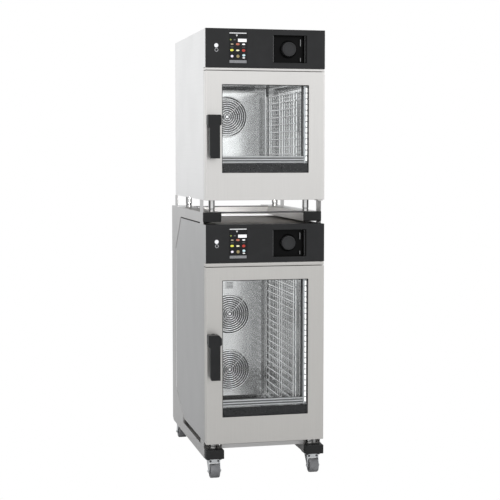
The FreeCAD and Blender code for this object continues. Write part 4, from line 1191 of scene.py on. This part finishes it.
for castor, trail in CASTORS:
    make_castor(castor, trail)
make_castor_bolts()
for shown in ("left_side_plate", "right_side_plate", "frame_arms", "cross_rails"):
    repaint(shown, frame_sheet)
for shown, finish in (("fan_motors", motor_grey), ("fan_heaters", heater_metal), ("castor_plates", zinc),
                      ("service_ports", port_grey)):
    repaint(shown, finish)


# ---------------------------------------------------------------- studio

def seen_directly(tree, seen, other):
    """Join two shaders: one for what the camera sees directly, one for light and reflections."""
    rays = tree.nodes.new("ShaderNodeLightPath")
    mix = tree.nodes.new("ShaderNodeMixShader")
    feed(mix, "Fac", rays.outputs["Is Camera Ray"])
    feed(mix, 1, other)
    feed(mix, 2, seen)
    return mix.outputs["Shader"]


def make_floor():
    bm = bmesh.new()
    ops.create_grid(bm, x_segments=1, y_segments=1, size=30.0)
    mesh = bpy.data.meshes.new("floor")
    bm.to_mesh(mesh)
    bm.free()
    material, tree, shader = new_material("pale_floor")
    shader.inputs["Base Color"].default_value = (0.56, 0.56, 0.56, 1.0)
    shader.inputs["Roughness"].default_value = 0.9
    shader.inputs["Specular IOR Level"].default_value = 0.0
    white = tree.nodes.new("ShaderNodeEmission")
    tree.links.new(seen_directly(tree, white.outputs["Emission"], shader.outputs["BSDF"]),
                   tree.nodes["Material Output"].inputs["Surface"])
    mesh.materials.append(material)
    floor = bpy.data.objects.new("floor", mesh)
    bpy.context.scene.collection.objects.link(floor)


def soft_light(name, place, target, size, power, colour=(1.0, 1.0, 1.0)):
    lamp = bpy.data.lights.new(name, "AREA")
    lamp.shape = "RECTANGLE"
    lamp.size, lamp.size_y = size
    lamp.energy = power
    lamp.color = colour
    item = bpy.data.objects.new(name, lamp)
    item.location = place
    item.rotation_euler = (Vector(target) - Vector(place)).to_track_quat("-Z", "Y").to_euler()
    bpy.context.scene.collection.objects.link(item)


def make_world():
    """A white backdrop that lights softly from all round."""
    world = bpy.data.worlds.new("studio")
    bpy.context.scene.world = world
    world.use_nodes = True
    tree = world.node_tree
    seen = tree.nodes["Background"]
    seen.inputs["Color"].default_value = (1.0, 1.0, 1.0, 1.0)
    soft = tree.nodes.new("ShaderNodeBackground")
    soft.inputs["Color"].default_value = (0.97, 0.985, 1.0, 1.0)
    soft.inputs["Strength"].default_value = 1.08
    tree.links.new(seen_directly(tree, seen.outputs["Background"], soft.outputs["Background"]),
                   tree.nodes["World Output"].inputs["Surface"])


FOCAL_SHARE = 1244.5 / 500      # the lens's focal length in widths of the image


def make_camera():
    """The viewpoint: a long lens from the left, level with the gap between the ovens."""
    camera = bpy.data.cameras.new("camera")
    camera.sensor_width = 36.0
    camera.lens = FOCAL_SHARE * camera.sensor_width
    item = bpy.data.objects.new("camera", camera)
    item.location = (-1.2571, FACE - 5.1214, 1.3824)
    turn_right, tilt_down = 13.0675, 4.3887
    item.rotation_euler = (math.radians(90 - tilt_down), 0.0, math.radians(-turn_right))
    bpy.context.scene.collection.objects.link(item)
    bpy.context.scene.camera = item


make_floor()
make_world()
make_camera()
soft_light("key_light", (-1.6, -3.2, 3.4), (0.0, 0.0, 1.3), (2.4, 1.6), 25.0)
soft_light("fill_light", (2.6, -2.6, 2.2), (0.0, 0.0, 1.1), (1.6, 2.4), 8.0)
for oven in OVENS:
    low, high = cavity_room(oven)
    middle = (low + high) / 2
    tall = high.z - low.z
    soft_light(f"{oven}_front_glow", (middle.x, low.y + 0.02, middle.z), (middle.x, high.y, middle.z),
               (0.36, tall * 0.9), 3.1 * tall * 0.36)
    soft_light(f"{oven}_roof_glow", (middle.x, middle.y, high.z - 0.02), (middle.x, middle.y, low.z),
               (0.3, 0.4), 0.6)
soft_light("deck_glow", (0.0, -0.2, 1.176), (0.0, 0.46, 1.13), (0.34, 0.02), 0.6)
bpy.context.scene.view_settings.view_transform = "Standard"
